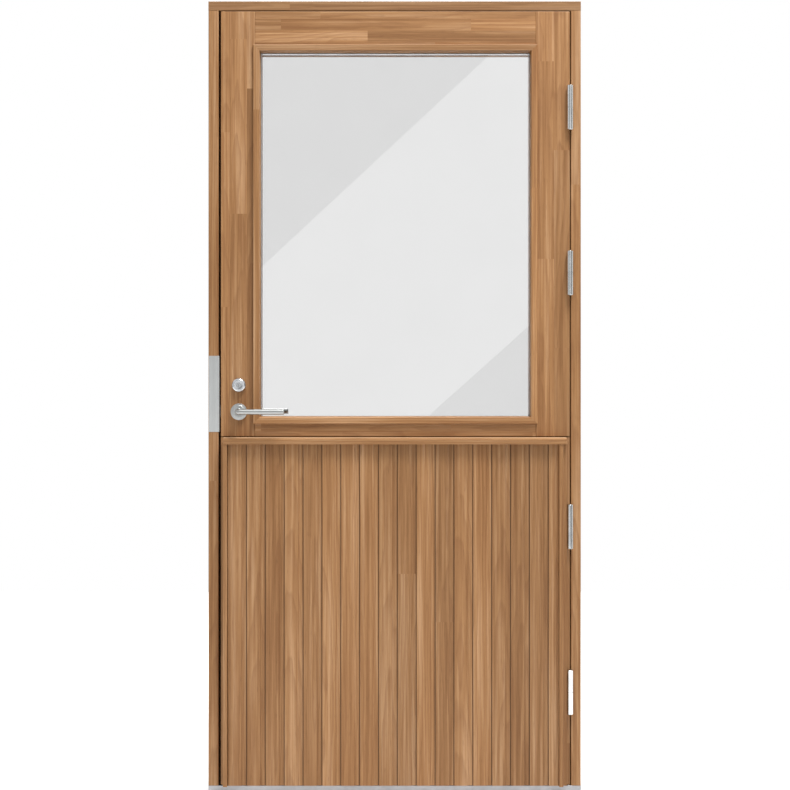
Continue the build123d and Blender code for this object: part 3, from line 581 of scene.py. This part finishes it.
@dataclass(frozen=True)
class WindowGlass:
    """Clear float glass, faintly grey through its thickness.

    Attributes:
        name: Name of the material.
        tint: Display colour that light keeps on passing through.
    """

    name: str
    tint: Rgb

    def material(self) -> bpy.types.Material:
        """Make the material: broad noise moves the tint by half a hundredth.

        Returns:
            The material.
        """
        g = Graph(bpy.data.materials.new(self.name))
        film = g.noise(g.vector(*g.place()), 7.0, 3.0, 0.5)
        return g.surface(
            Base_Color=g.ramp(film, [(0.2, srgb(*self.tint)), (0.8, shaded(self.tint, 0.995))]),
            Roughness=0.0,
            IOR=1.5,
            Transmission_Weight=1.0,
        )


@dataclass(frozen=True)
class Matte:
    """Rubber, foam or plastic with a fine surface texture.

    Attributes:
        name: Name of the material.
        colour: Display colour.
        rough: Roughness.
        cell: Size of the texture's features, in metres.
        depth: Height of the texture, in metres.
    """

    name: str
    colour: Rgb
    rough: float
    cell: float
    depth: float

    def material(self) -> bpy.types.Material:
        """Make the material: noise of one size moves its tone and its height.

        Returns:
            The material.
        """
        g = Graph(bpy.data.materials.new(self.name))
        grain = g.noise(g.vector(*g.place()), 1.0 / self.cell, 3.0, 0.6)
        tone = g.ramp(grain, [(0.3, shaded(self.colour, 0.85)), (0.7, shaded(self.colour, 1.08))])
        return g.surface(
            Base_Color=tone,
            Roughness=self.rough,
            Normal=g.bump(grain, self.depth, 0.6),
        )


def grid_piece(name: str, grids: Sequence[np.ndarray], material: bpy.types.Material, body: str,
               replaced: Sequence[str] = ()) -> bpy.types.Object:
    """Make one smooth-shaded piece from point grids.

    Args:
        name: Name of the piece.
        grids: Arrays of shape (rows, columns, 3). Columns run once round, and the last column
            joins the first. Each first and last row is closed by a flat or pointed end.
        material: Its material.
        body: The body that it rides on.
        replaced: CAD nodes that it stands for.

    Returns:
        The piece.
    """
    points: list[np.ndarray] = []
    quads: list[np.ndarray] = []
    ends: list[tuple[int, ...]] = []
    base = 0
    for grid in grids:
        rows, columns, _ = grid.shape
        index = base + np.arange(rows * columns).reshape(rows, columns)
        turned = np.roll(index, -1, axis=1)
        quads.append(np.stack([index[:-1], turned[:-1], turned[1:], index[1:]], -1).reshape(-1, 4))
        ends.append(tuple(index[0][::-1].tolist()))
        ends.append(tuple(index[-1].tolist()))
        points.append(grid.reshape(-1, 3))
        base += rows * columns
    mesh = bpy.data.meshes.new(name)
    mesh.from_pydata(np.concatenate(points).tolist(), [], np.concatenate(quads).tolist() + ends)
    mesh.materials.append(material)
    mesh.polygons.foreach_set("use_smooth", np.ones(len(mesh.polygons), dtype=bool))
    mesh.update()
    piece = bpy.data.objects.new(name, mesh)
    bpy.context.scene.collection.objects.link(piece)
    mesh.set_sharp_from_angle(angle=math.radians(28.0))
    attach(piece, body)
    if replaced:
        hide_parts(*replaced)
    return piece


def round_angles(steps: int, facing: Facing) -> np.ndarray:
    """Angles once round, in the sense that turns faces outwards on that side of the leaf."""
    return np.linspace(0.0, 2.0 * np.pi, steps, endpoint=False) * -facing.out


def lathe(profile: Sequence[tuple[float, float]], center: Vec, facing: Facing,
          steps: int = 72) -> np.ndarray:
    """Turn a profile about an axis along Y.

    A point is center + (r cos t, out * h, r sin t) for the profile's radius r and height h
    and the angle t round the axis.

    Args:
        profile: Pairs of radius and height over the face, in metres.
        center: A point of the axis; its y isn't used.
        facing: The side that the heights are measured on.
        steps: Points round.

    Returns:
        A grid of one row for each pair.
    """
    pairs = np.array(profile)
    turn = round_angles(steps, facing)
    radius, height = pairs[:, :1], pairs[:, 1:]
    x = center[0] + radius * np.cos(turn)
    z = center[2] + radius * np.sin(turn)
    y = np.broadcast_to(facing.face + facing.out * height, x.shape)
    return np.stack([x, y, z], -1)


def softened(profile: Sequence[tuple[float, float]], size: float,
             steps: int = 4) -> list[tuple[float, float]]:
    """Round the corners of a profile.

    A corner b is cut at a and c, which lie at most size and at most 45% of the leg away from it,
    and follows the quadratic a (1 - t)^2 + 2 b t (1 - t) + c t^2 between them.

    Args:
        profile: Corners; the first and last stay as they are.
        size: Longest cut from a leg, in metres.
        steps: Points on each rounded corner, less one.

    Returns:
        The longer profile.
    """
    corners = np.array(profile, dtype=float)
    before, corner, after = corners[:-2], corners[1:-1], corners[2:]
    to_before, to_after = before - corner, after - corner
    long_before = np.linalg.norm(to_before, axis=1, keepdims=True)
    long_after = np.linalg.norm(to_after, axis=1, keepdims=True)
    first = corner + to_before / long_before * np.minimum(size, long_before * 0.45)
    last = corner + to_after / long_after * np.minimum(size, long_after * 0.45)
    t = np.linspace(0.0, 1.0, steps + 1)[None, :, None]
    bent = first[:, None] * (1 - t) ** 2 + 2 * corner[:, None] * t * (1 - t) + last[:, None] * t**2
    return [tuple(p) for p in np.vstack([corners[:1], bent.reshape(-1, 2), corners[-1:]])]


@dataclass(frozen=True)
class Lever:
    """A lever of round bar on its rose.

    Attributes:
        center: Where its axis meets the leaf's face; y isn't used.
        facing: The side that it stands on.
        seat: Height over the face at which the bar starts, in metres, as all its sizes.
        collar_radius: Radius of the collar in the rose.
        collar_top: Height of the collar.
        collar_soft: Bevel of the collar.
        neck_radius: Radius of the bar at the neck.
        grip_radius: Radius of the grip.
        swell: Where past the bend the swell to the grip starts and ends.
        out: Height of the grip's centre line.
        reach: Length from the axis to the end.
        bend: Radius of the bend.
        cap: Length of the end cap.
        groove: Width and depth of the groove before the cap.
        shoulder: Length of a step from one radius to the next.
        round_end: Pairs of distance from the end and loss of radius there.
        tip: Radius at the very end.
        rose_radius: Radius of the rose.
        step_radius: Radius of the rose's raised middle.
        rose_edge: Height of the rose's rim.
        rose_top: Height of the raised middle.
        rose_soft: Rounding of the rose's edges.
    """

    center: Vec
    facing: Facing
    seat: float = 0.0010
    collar_radius: float = 0.0085
    collar_top: float = 0.015
    collar_soft: float = 0.0006
    neck_radius: float = 0.0067
    grip_radius: float = 0.00738
    swell: tuple[float, float] = (0.011, 0.037)
    out: float = 0.050
    reach: float = 0.122
    bend: float = 0.009
    cap: float = 0.007
    groove: tuple[float, float] = (0.0008, 0.0005)
    shoulder: float = 0.0002
    round_end: tuple[tuple[float, float], ...] = ((0.0015, 0.0), (0.0005, 0.0006), (0.0, 0.0017))
    tip: float = 0.0004
    rose_radius: float = 0.0216
    step_radius: float = 0.0165
    rose_edge: float = 0.0075
    rose_top: float = 0.009
    rose_soft: float = 0.0009

    def radii(self, neck: float, arc: float, end: float) -> np.ndarray:
        """List the bar's radius along its path.

        Args:
            neck: Where the bend starts.
            arc: Length of the bend.
            end: Where the bar ends.

        Returns:
            Rows of (distance, radius): collar, neck, bend, swelling grip, groove and round end.
        """
        grip, cap, bent = self.grip_radius, end - self.cap, neck + arc
        width, sunk = self.groove
        return np.array([
            (self.seat, self.collar_radius),
            (self.collar_top - self.collar_soft, self.collar_radius),
            (self.collar_top, self.collar_radius - self.collar_soft),
            (self.collar_top + self.shoulder, self.neck_radius),
            (neck, self.neck_radius),
            (bent, self.neck_radius),
            (bent + self.swell[0], self.neck_radius),
            (bent + self.swell[1], grip),
            (cap - self.shoulder, grip),
            (cap, grip - sunk),
            (cap + width, grip - sunk),
            (cap + width + self.shoulder, grip),
            *((end - back, grip - loss) for back, loss in self.round_end),
            (end, self.tip),
        ])

    def bar(self, steps: int = 48) -> np.ndarray:
        """Carry a circle along the neck, the bend and the grip.

        The path is straight out, then a quarter circle of the bend's radius, then straight
        along X. The circle stands square to it, and its radius follows the table.

        Args:
            steps: Points round.

        Returns:
            The grid.
        """
        neck = self.out - self.bend
        arc = self.bend * np.pi / 2
        table = self.radii(neck, arc, neck + arc + self.reach - self.bend)
        bends = np.linspace(neck, neck + arc, 17)
        swell = np.linspace(neck + arc + self.swell[0], neck + arc + self.swell[1], 9)
        along = np.sort(np.concatenate([table[:, 0], bends[1:-1], swell[1:-1]]), kind="stable")
        radius = np.interp(along, table[:-1, 0], table[:-1, 1])
        radius[-1] = self.tip
        turn = np.clip((along - neck) / self.bend, 0.0, np.pi / 2)
        run = np.clip(along - neck - arc, 0.0, None)
        x = self.bend * (1 - np.cos(turn)) + run
        h = np.minimum(along, neck) + self.bend * np.sin(turn)
        around = round_angles(steps, self.facing)
        ring = radius[:, None] * np.cos(around)
        grid_x = self.center[0] + x[:, None] + ring * np.cos(turn)[:, None]
        grid_h = h[:, None] - ring * np.sin(turn)[:, None]
        grid_z = self.center[2] + radius[:, None] * np.sin(around)
        return np.stack([grid_x, self.facing.face + self.facing.out * grid_h, grid_z], -1)

    def rose(self) -> np.ndarray:
        """Turn the rose: a rounded rim, a step up to the middle and the hole for the collar.

        Returns:
            The grid.
        """
        bore = self.collar_radius + 0.00005
        return lathe(softened([
            (bore, 0.0), (self.rose_radius, 0.0), (self.rose_radius, self.rose_edge),
            (self.step_radius, self.rose_edge), (self.step_radius, self.rose_top),
            (bore, self.rose_top), (bore, 0.0001),
        ], self.rose_soft), self.center, self.facing)


@dataclass(frozen=True)
class GuardRing:
    """The domed guard ring round the cylinder's outer end, a skin over the solid ring.

    Attributes:
        center: Where its axis meets the leaf's face; y isn't used.
        foot: Radius at the leaf, in metres, as all its sizes.
        edge: Height of the straight edge.
        rim: Radius of the rim.
        top: Height of the rim.
        dish: Radius of the sunk middle.
        dish_top: Height of the sunk middle.
        bore: Radius of the hole for the plug.
        soft: Rounding of the rim's inner edges.
    """

    center: Vec
    foot: float = 0.01885
    edge: float = 0.0030
    rim: float = 0.0130
    top: float = 0.01105
    dish: float = 0.0103
    dish_top: float = 0.01004
    bore: float = 0.00705
    soft: float = 0.0004

    def grid(self) -> np.ndarray:
        """Turn the ring's section.

        From the edge to the rim it is a quarter of an ellipse: the radius is
        rim + (foot - rim) cos t and the height edge + (top - edge) sin t.

        Returns:
            The grid.
        """
        turn = np.linspace(0.0, np.pi / 2, 14)
        radius = self.rim + (self.foot - self.rim) * np.cos(turn)
        height = self.edge + (self.top - self.edge) * np.sin(turn)
        dome = list(zip(radius.tolist(), height.tolist()))
        inner = softened([(self.rim, self.top), (self.dish, self.top), (self.dish, self.dish_top),
                          (self.bore, self.dish_top), (self.bore, 0.0001)], self.soft)
        section = [(self.bore, 0.0), (self.foot, 0.0), *dome, *inner[1:]]
        return lathe(section, self.center, Facing.OUTDOORS)


@dataclass(frozen=True)
class Screw:
    """A countersunk screw with a cross recess in its head.

    Attributes:
        head: Radius of the head, in metres, as all its sizes.
        shank: Radius of the shank.
        cone: Depth of the head.
        length: Length from head to tip.
        point: Length and radius of the pointed end.
        rings: Radii of the head's inner rows.
        bevel: Width and depth of the head's edge.
        recess: Radius of the recess.
        sunk: Depth of the recess.
        wall: Width over which the recess goes down.
    """

    head: float = 0.0039
    shank: float = 0.0020
    cone: float = 0.0022
    length: float = 0.022
    point: tuple[float, float] = (0.004, 0.0002)
    rings: tuple[float, ...] = (0.0004, 0.0009, 0.0014, 0.0019, 0.0023)
    bevel: tuple[float, float] = (0.0003, 0.00015)
    recess: float = 0.0021
    sunk: float = 0.0012
    wall: float = 0.0004

    def grid(self, place: Vec, toward: int, steps: int = 32) -> np.ndarray:
        """Turn the head and shank about X and press the recess into the head.

        The cross reaches out to recess * |cos 2t|^3 plus its core. Where that is past the row's
        radius, the row is pressed in, fully once it is past by the wall's width.

        Args:
            place: Middle of the head's face.
            toward: 1 if it is driven along +X, else -1.
            steps: Points round.

        Returns:
            The grid.
        """
        rows = np.array([
            *((ring, 0.0) for ring in self.rings),
            (self.head - self.bevel[0], 0.0), (self.head, self.bevel[1]), (self.shank, self.cone),
            (self.shank, self.length - self.point[0]), (self.point[1], self.length),
        ])
        turn = np.linspace(0.0, 2.0 * np.pi, steps, endpoint=False)
        radius, depth = rows[:, :1], rows[:, 1:]
        core = 0.0005
        cross = self.recess * np.abs(np.cos(2.0 * turn)) ** 3 + core
        pressed = self.sunk * np.clip((cross - radius) / self.wall, 0.0, 1.0) * (depth < 0.0001)
        x = place[0] + toward * (depth + pressed)
        y = place[1] + radius * np.cos(turn) * toward
        z = place[2] + radius * np.sin(turn)
        return np.stack([x, y, z], -1)


@dataclass
class Joinery:
    """Everything of wood: the frame, the leaf, its beads, boards and mouldings.

    Attributes:
        nodes: The CAD nodes by name.
        boards: How many boards the lower part has.
        field_start: Left edge of the first board, in metres.
        board_pitch: From one board to the next, in metres.
        uncut: A block length that leaves the wood free of finger joints, in metres.
    """

    nodes: dict[str, bpy.types.Object]
    boards: int = 18
    field_start: float = -0.4386
    board_pitch: float = 0.0495
    uncut: float = 20.0

    def stains(self) -> dict[StainedWood, list[str]]:
        """List the stains, each with the wooden nodes that it covers.

        Returns:
            Stain to node names, with the grain along each node's length.
        """
        upright = (Axis.Z, Axis.X)
        level = (Axis.X, Axis.Z)
        return {
            StainedWood("stain_lock_stile", *upright, -0.4785, 0.045, 0.46, 3.7): ["lock_stile"],
            StainedWood("stain_hinge_stile", *upright, 0.3743, 0.045, 0.52, 8.1): ["hinge_stile"],
            StainedWood("stain_lock_jamb", *upright, -0.4900, 0.0445, 3.0, 5.3, 0.1): ["lock_jamb"],
            StainedWood("stain_hinge_jamb", *upright, 0.4455, 0.0445, 3.0, 6.9, 0.1): [
                "hinge_jamb"],
            StainedWood("stain_head", *level, 2.0555, 0.0245, 0.80, 2.2, 0.1, level=0.9): [
                "frame_head"],
            StainedWood("stain_rails", *level, 0.0190, 0.0310, 0.50, 4.4): [
                "top_rail", "mid_rail", "bottom_rail"],
            StainedWood("stain_lock_bead", *upright, -0.3720, 0.7, 5.0, 1.9, 0.1): [
                "bead_lock_side"],
            # The beads' levels are painted light: the head bead darker, the hinge-side and foot
            # beads lighter.
            StainedWood("stain_hinge_bead_painted_light", *upright, 0.2, 0.7, 5.0, 4.9, 0.1, level=1.06): [
                "bead_hinge_side"],
            StainedWood("stain_head_bead_painted_shade", *level, 1.8, 0.7, 5.0, 7.3, 0.1, level=0.93): [
                "bead_head"],
            StainedWood("stain_foot_bead_painted_light", *level, 0.9, 0.7, 5.0, 3.1, 0.1, level=1.06): [
                "bead_foot"],
            # The moulding's stain also paints a highlight on its top.
            StainedWood("stain_moulding_painted_highlight", *level, 0.9150, 0.5, 5.0, 9.6, 0.1, highlight_above=0.9308): [
                "drip_moulding"],
            StainedWood("stain_sill", *level, 0.0, 0.05, 5.0, 5.1, 0.1, level=0.85): [
                "threshold_sill"],
            # The boards' stain also paints shade along their joints.
            StainedWood("stain_boards_painted_joint_shade", *upright, self.field_start, self.board_pitch, self.uncut,
                        12.4, 0.2, 0.0075, joint=0.0011): [
                f"board_{n + 1}" for n in range(self.boards)],
            StainedWood("stain_strips", *upright, -0.5, 0.3, self.uncut, 2.6, 0.05): ["edge_strips"],
            StainedWood("stain_panel", *upright, -0.3675, 0.25, self.uncut, 15.2, 0.1): [
                "inner_panel"],
        }

    def build(self) -> list[bpy.types.Object]:
        """Stain every wooden node.

        Returns:
            The nodes.
        """
        done: list[bpy.types.Object] = []
        for stain, names in self.stains().items():
            done += finish(self.nodes, stain.material(), *names)
        return done


@dataclass
class Furniture:
    """Levers, roses, cylinder, thumb turn, lock, strike plate, hinges and their screws.

    Attributes:
        nodes: The CAD nodes by name.
        axis_x: Where the handle's and the cylinder's axes lie, in metres, as all its sizes.
        handle_z: Height of the handle.
        cylinder_z: Height of the cylinder.
        hinge_middles: Heights of the hinges' middles.
        hinge_length: Length of a hinge.
        flap_rows: Y of a flap's pair of screws and of its single screw.
        flap_spread: Half the distance between the pair.
        cheek_x: X of the frame flaps' screw heads.
        edge_x: X of the leaf flaps' screw heads.
        lock_y: Y of the lock's middle plane.
        strike_x: X of the strike plate's screw heads.
        strike_screws: Their heights.
        faceplate_x: X of the faceplate's screw heads.
        faceplate_screws: Their heights.
    """

    nodes: dict[str, bpy.types.Object]
    axis_x: float = -0.4095
    handle_z: float = 1.000
    cylinder_z: float = 1.070
    hinge_middles: tuple[float, ...] = (0.2639, 0.6984, 1.3645, 1.7990)
    hinge_length: float = 0.117
    flap_rows: tuple[float, float] = (-0.0335, -0.0465)
    flap_spread: float = 0.018
    cheek_x: float = 0.4635
    edge_x: float = 0.4611
    lock_y: float = -0.0265
    strike_x: float = -0.4610
    strike_screws: tuple[float, ...] = (0.956, 1.035, 1.138)
    faceplate_x: float = -0.4575
    faceplate_screws: tuple[float, ...] = (0.9255, 1.1445)

    def dress(self) -> list[bpy.types.Object]:
        """Finish the metal nodes that keep their own meshes.

        Returns:
            The nodes.
        """
        upright = BrushedSteel("steel_brushed_upright", Axis.Z, (203, 205, 204), 0.36).material()
        hinge = PlainMetal("steel_hinge", (211, 212, 211), 0.13, 0.04).material()
        zinc = PlainMetal("lock_zinc", (170, 172, 172), 0.36).material()
        nickel = PlainMetal("plug_nickel", (188, 190, 191), 0.2, 0.06).material()
        return [
            *finish(self.nodes, upright, "strike_plate"),
            *finish(self.nodes, hinge, "hinge_frame_halves", "hinge_leaf_halves"),
            *finish(self.nodes, zinc, "lock_case", "latch_bolt", "dead_bolt", "spindle",
                    "follower"),
            *finish(self.nodes, nickel, "cylinder_plug"),
        ]

    def handles(self) -> list[bpy.types.Object]:
        """Build the guard ring and both levers on their roses, and finish what they sit with.

        Returns:
            The pieces.
        """
        along_x = BrushedSteel("steel_brushed_along", Axis.X).material()
        satin = BrushedSteel("steel_brushed_rose", Axis.Z, (184, 186, 185), 0.36).material()
        chrome = PlainMetal("cylinder_chrome", (206, 209, 212), 0.14, 0.05).material()
        ring = GuardRing((self.axis_x, 0.0, self.cylinder_z))
        done = [
            *finish(self.nodes, along_x, "turn_rose", "thumb_turn"),
            *finish(self.nodes, chrome, "lock_cylinder"),
            grid_piece("chrome_guard_ring", [ring.grid()], chrome, "leaf"),
        ]
        for side, rose, facing in (("outside", "outer_rose", Facing.OUTDOORS),
                                   ("inside", "inner_rose", Facing.INDOORS)):
            lever = Lever((self.axis_x, 0.0, self.handle_z), facing)
            done.append(grid_piece(f"steel_lever_{side}", [lever.bar()], along_x, "handle",
                                   [f"lever_{side}"]))
            done.append(grid_piece(f"steel_{rose}", [lever.rose()], satin, "leaf", [rose]))
        return done

    def flaps(self, x: float, aside: float) -> list[Vec]:
        """List the screw points of all hinge flaps on one face.

        Args:
            x: The face that they are screwed to.
            aside: How far the flaps' middles lie over the hinges' middles.

        Returns:
            Three points for each hinge.
        """
        pair, single = self.flap_rows
        heights = [middle + aside for middle in self.hinge_middles]
        return [point for z in heights for point in (
            (x, pair, z - self.flap_spread), (x, pair, z + self.flap_spread), (x, single, z))]

    def screws(self) -> list[bpy.types.Object]:
        """Build the screws of the hinges, the strike plate and the faceplate.

        Returns:
            The pieces.
        """
        screw = Screw()
        zinc = PlainMetal("screw_zinc", (176, 178, 178), 0.3).material()
        quarter = self.hinge_length / 4
        frame_grids = [screw.grid(p, 1) for p in self.flaps(self.cheek_x, -quarter)]
        frame_grids += [screw.grid((self.strike_x, self.lock_y, z), -1) for z in self.strike_screws]
        leaf_grids = [screw.grid(p, -1) for p in self.flaps(self.edge_x, quarter)]
        leaf_grids += [screw.grid((self.faceplate_x, self.lock_y, z), 1)
                       for z in self.faceplate_screws]
        return [
            grid_piece("zinc_frame_screws", frame_grids, zinc, "frame",
                       ["frame_screws"]),
            grid_piece("zinc_leaf_screws", leaf_grids, zinc, "leaf", ["leaf_screws"]),
            *finish(self.nodes, zinc, "frame_sleeves"),
        ]

    def build(self) -> list[bpy.types.Object]:
        """Finish and build all of it."""
        return [*self.dress(), *self.handles(), *self.screws()]


@dataclass
class Infill:
    """What is neither wood nor furniture: panes, spacer, packing, threshold plate, seal and core.

    Attributes:
        nodes: The CAD nodes by name.
    """

    nodes: dict[str, bpy.types.Object]

    def build(self) -> list[bpy.types.Object]:
        """Finish the nodes of glass, aluminium, rubber and foam.

        Returns:
            The nodes.
        """
        glass = WindowGlass("float_glass", (243, 243, 243))
        spacer = PlainMetal("spacer_aluminium", (245, 246, 247), 0.5)
        threshold = PlainMetal("threshold_aluminium", (168, 168, 170), 0.42)
        rubber = Matte("seal_rubber", (38, 38, 38), 0.6, 0.0012, 0.00006)
        foam = Matte("core_foam", (226, 220, 190), 0.9, 0.003, 0.0004)
        return [
            *finish(self.nodes, glass.material(), "outer_pane", "inner_pane"),
            *finish(self.nodes, spacer.material(), "spacer_bar"),
            *finish(self.nodes, threshold.material(), "threshold_plate"),
            *finish(self.nodes, rubber.material(), "frame_seal", "glazing_packing"),
            *finish(self.nodes, foam.material(), "panel_core"),
        ]


@dataclass(frozen=True)
class Studio:
    """Floor, light, reflecting cards and the camera at the photograph's angle.

    Attributes:
        eye: The camera's place, in metres, as all its sizes.
        lens: Its focal length in millimetres on a sensor of the next width.
        sensor: Width of the sensor in millimetres.
        floor_half: Half the floor's side.
        far: Y of the cards that the panes mirror.
        side: X of the cards to the right and left of the door.
        aim: What the lamps point at.
        sky: Pairs of height, 0 straight below and 1 straight above, and level of the soft light.
    """

    eye: Vec = (0.00092, -4.0575, 1.04398)
    lens: float = 69.28
    sensor: float = 36.0
    floor_half: float = 4.0
    far: float = -6.0
    side: float = 3.4
    aim: Vec = (0.0, -0.05, 1.1)
    sky: tuple[tuple[float, float], ...] = ((0.0, 0.1), (0.45, 0.22), (0.6, 0.5), (1.0, 1.0))

    def camera(self) -> None:
        """Place the camera level, looking along +Y."""
        data = bpy.data.cameras.new("camera")
        data.lens = self.lens
        data.sensor_width = self.sensor
        camera = bpy.data.objects.new("camera", data)
        camera.location = self.eye
        camera.rotation_euler = (math.pi / 2, 0.0, 0.0)
        bpy.context.scene.collection.objects.link(camera)
        bpy.context.scene.camera = camera

    def panel(self, name: str, corners: Sequence[Vec],
              material: bpy.types.Material) -> bpy.types.Object:
        """Make a flat panel that belongs to the stage.

        Args:
            name: Name of the panel.
            corners: Its corners.
            material: Its material.

        Returns:
            The panel.
        """
        mesh = bpy.data.meshes.new(name)
        mesh.from_pydata(list(corners), [], [tuple(range(len(corners)))])
        mesh.materials.append(material)
        panel = bpy.data.objects.new(name, mesh)
        bpy.context.scene.collection.objects.link(panel)
        return panel

    def floor(self) -> None:
        """A pale floor, white to the camera where no shadow falls on it."""
        g = Graph(bpy.data.materials.new("stage_floor"))
        diffuse = g.out(g.node("ShaderNodeBsdfDiffuse", {}, {"Color": (0.82, 0.82, 0.82, 1.0)}))
        glow = g.out(g.node("ShaderNodeEmission", {}, {
            "Color": (1.0, 1.0, 1.0, 1.0), "Strength": g.seen() * 0.32}))
        both = g.out(g.node("ShaderNodeAddShader", {}, {0: diffuse, 1: glow}))
        g.node("ShaderNodeOutputMaterial", {}, {"Surface": both})
        h = self.floor_half
        self.panel("stage_floor", [(-h, -h, 0.0), (h, -h, 0.0), (h, h, 0.0), (-h, h, 0.0)], g.owner)

    def card(self, name: str, corners: Sequence[Vec], level: float) -> None:
        """Make a card that shows in glossy surfaces alone.

        A ray that hasn't been mirrored passes through it.

        Args:
            name: Name of the card.
            corners: Its corners.
            level: How bright it is, where the surrounding white is 1.
        """
        g = Graph(bpy.data.materials.new(name))
        glow = g.out(g.node("ShaderNodeEmission", {}, {"Color": (level, level, level * 1.01, 1.0)}))
        clear = g.out(g.node("ShaderNodeBsdfTransparent", {}, {}))
        mirrored = g.out(g.node("ShaderNodeLightPath", {}, {}), "Glossy Depth") > 0.5
        both = g.out(g.node("ShaderNodeMixShader", {}, {0: mirrored, 1: clear, 2: glow}))
        g.node("ShaderNodeOutputMaterial", {}, {"Surface": both})
        panel = self.panel(name, corners, g.owner)
        panel.visible_camera = False
        panel.visible_diffuse = False
        panel.visible_shadow = False

    def world(self) -> None:
        """A white surround; on matt surfaces it acts as soft light that comes mostly from above."""
        world = bpy.data.worlds.new("studio")
        g = Graph(world)
        coords = g.out(g.node("ShaderNodeTexCoord", {}, {}), "Generated")
        height = g.out(g.node("ShaderNodeSeparateXYZ", {}, {0: coords}), 2)
        sky = g.ramp(height * 0.5 + 0.5, [(place, (level,) * 3) for place, level in self.sky])
        colour = g.mix(g.seen(), sky, (1.0, 1.0, 1.0))
        back = g.out(g.node("ShaderNodeBackground", {}, {"Color": colour, "Strength": 1.0}))
        g.node("ShaderNodeOutputWorld", {}, {"Surface": back})
        bpy.context.scene.world = world

    def lamp(self, name: str, place: Vec, size: float, power: float) -> None:
        """Hang a square lamp, not seen itself, that faces the middle of the leaf.

        Args:
            name: Name of the lamp.
            place: Its middle.
            size: Its side.
            power: Its power in watts.
        """
        data = bpy.data.lights.new(name, "AREA")
        data.shape = "SQUARE"
        data.size = size
        data.energy = power
        lamp = bpy.data.objects.new(name, data)
        lamp.location = place
        ray = np.array(self.aim) - np.array(place)
        tilt = math.acos(-ray[2] / np.linalg.norm(ray))
        lamp.rotation_euler = (tilt, 0.0, math.atan2(ray[0], -ray[1]) + math.pi)
        lamp.visible_camera = False
        lamp.visible_transmission = False
        bpy.context.scene.collection.objects.link(lamp)

    def build(self) -> None:
        """Set the stage."""
        self.camera()
        self.floor()
        self.world()
        far = self.far
        self.card("card_upper", [(0.610, far, 3.266), (0.900, far, 3.536), (0.900, far, 5.0),
                                 (-3.0, far, 5.0), (-3.0, far, 0.0), (-2.9, far, 0.005)], 0.24)
        self.card("card_lower", [(0.8846, far, 1.5013), (2.5, far, 2.74), (2.5, far, 0.0),
                                 (-0.79, far, 0.0)], 0.24)
        for name, x, near, level in (("card_right", self.side, -0.9, 0.0),
                                     ("card_left", -self.side, -0.6, 0.45)):
            self.card(name, [(x, -3.0, 0.0), (x, near, 0.0), (x, near, 2.6), (x, -3.0, 2.6)], level)
        self.lamp("key", (0.95, -1.45, 5.2), 1.5, 265.0)
        self.lamp("back", (-0.9, 3.2, 4.2), 2.0, 130.0)
        bpy.context.scene.view_settings.view_transform = "Standard"


def finish(nodes: dict[str, bpy.types.Object], material: bpy.types.Material,
           *names: str) -> list[bpy.types.Object]:
    """Give CAD nodes a material.

    Args:
        nodes: The CAD nodes by name.
        material: The material.
        names: Which of them get it.

    Returns:
        Those nodes.
    """
    chosen = [nodes[name] for name in names]
    for node in chosen:
        if not node.material_slots:
            node.data.materials.append(material)
        for slot in node.material_slots:
            slot.material = material
    return chosen


def main() -> None:
    """Load the construction, build and report each piece of the looks, and set the stage."""
    logging.basicConfig(level=logging.INFO, format="%(name)s: %(message)s")
    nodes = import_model()["nodes"]
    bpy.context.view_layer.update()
    for assembly in (Joinery(nodes), Furniture(nodes), Infill(nodes)):
        for piece in assembly.build():
            log.info("%s: %s in %s, %d faces", type(assembly).__name__, piece.name,
                     piece.material_slots[0].material.name, len(piece.data.polygons))
    Studio().build()


if __name__ == "__main__":
    main()
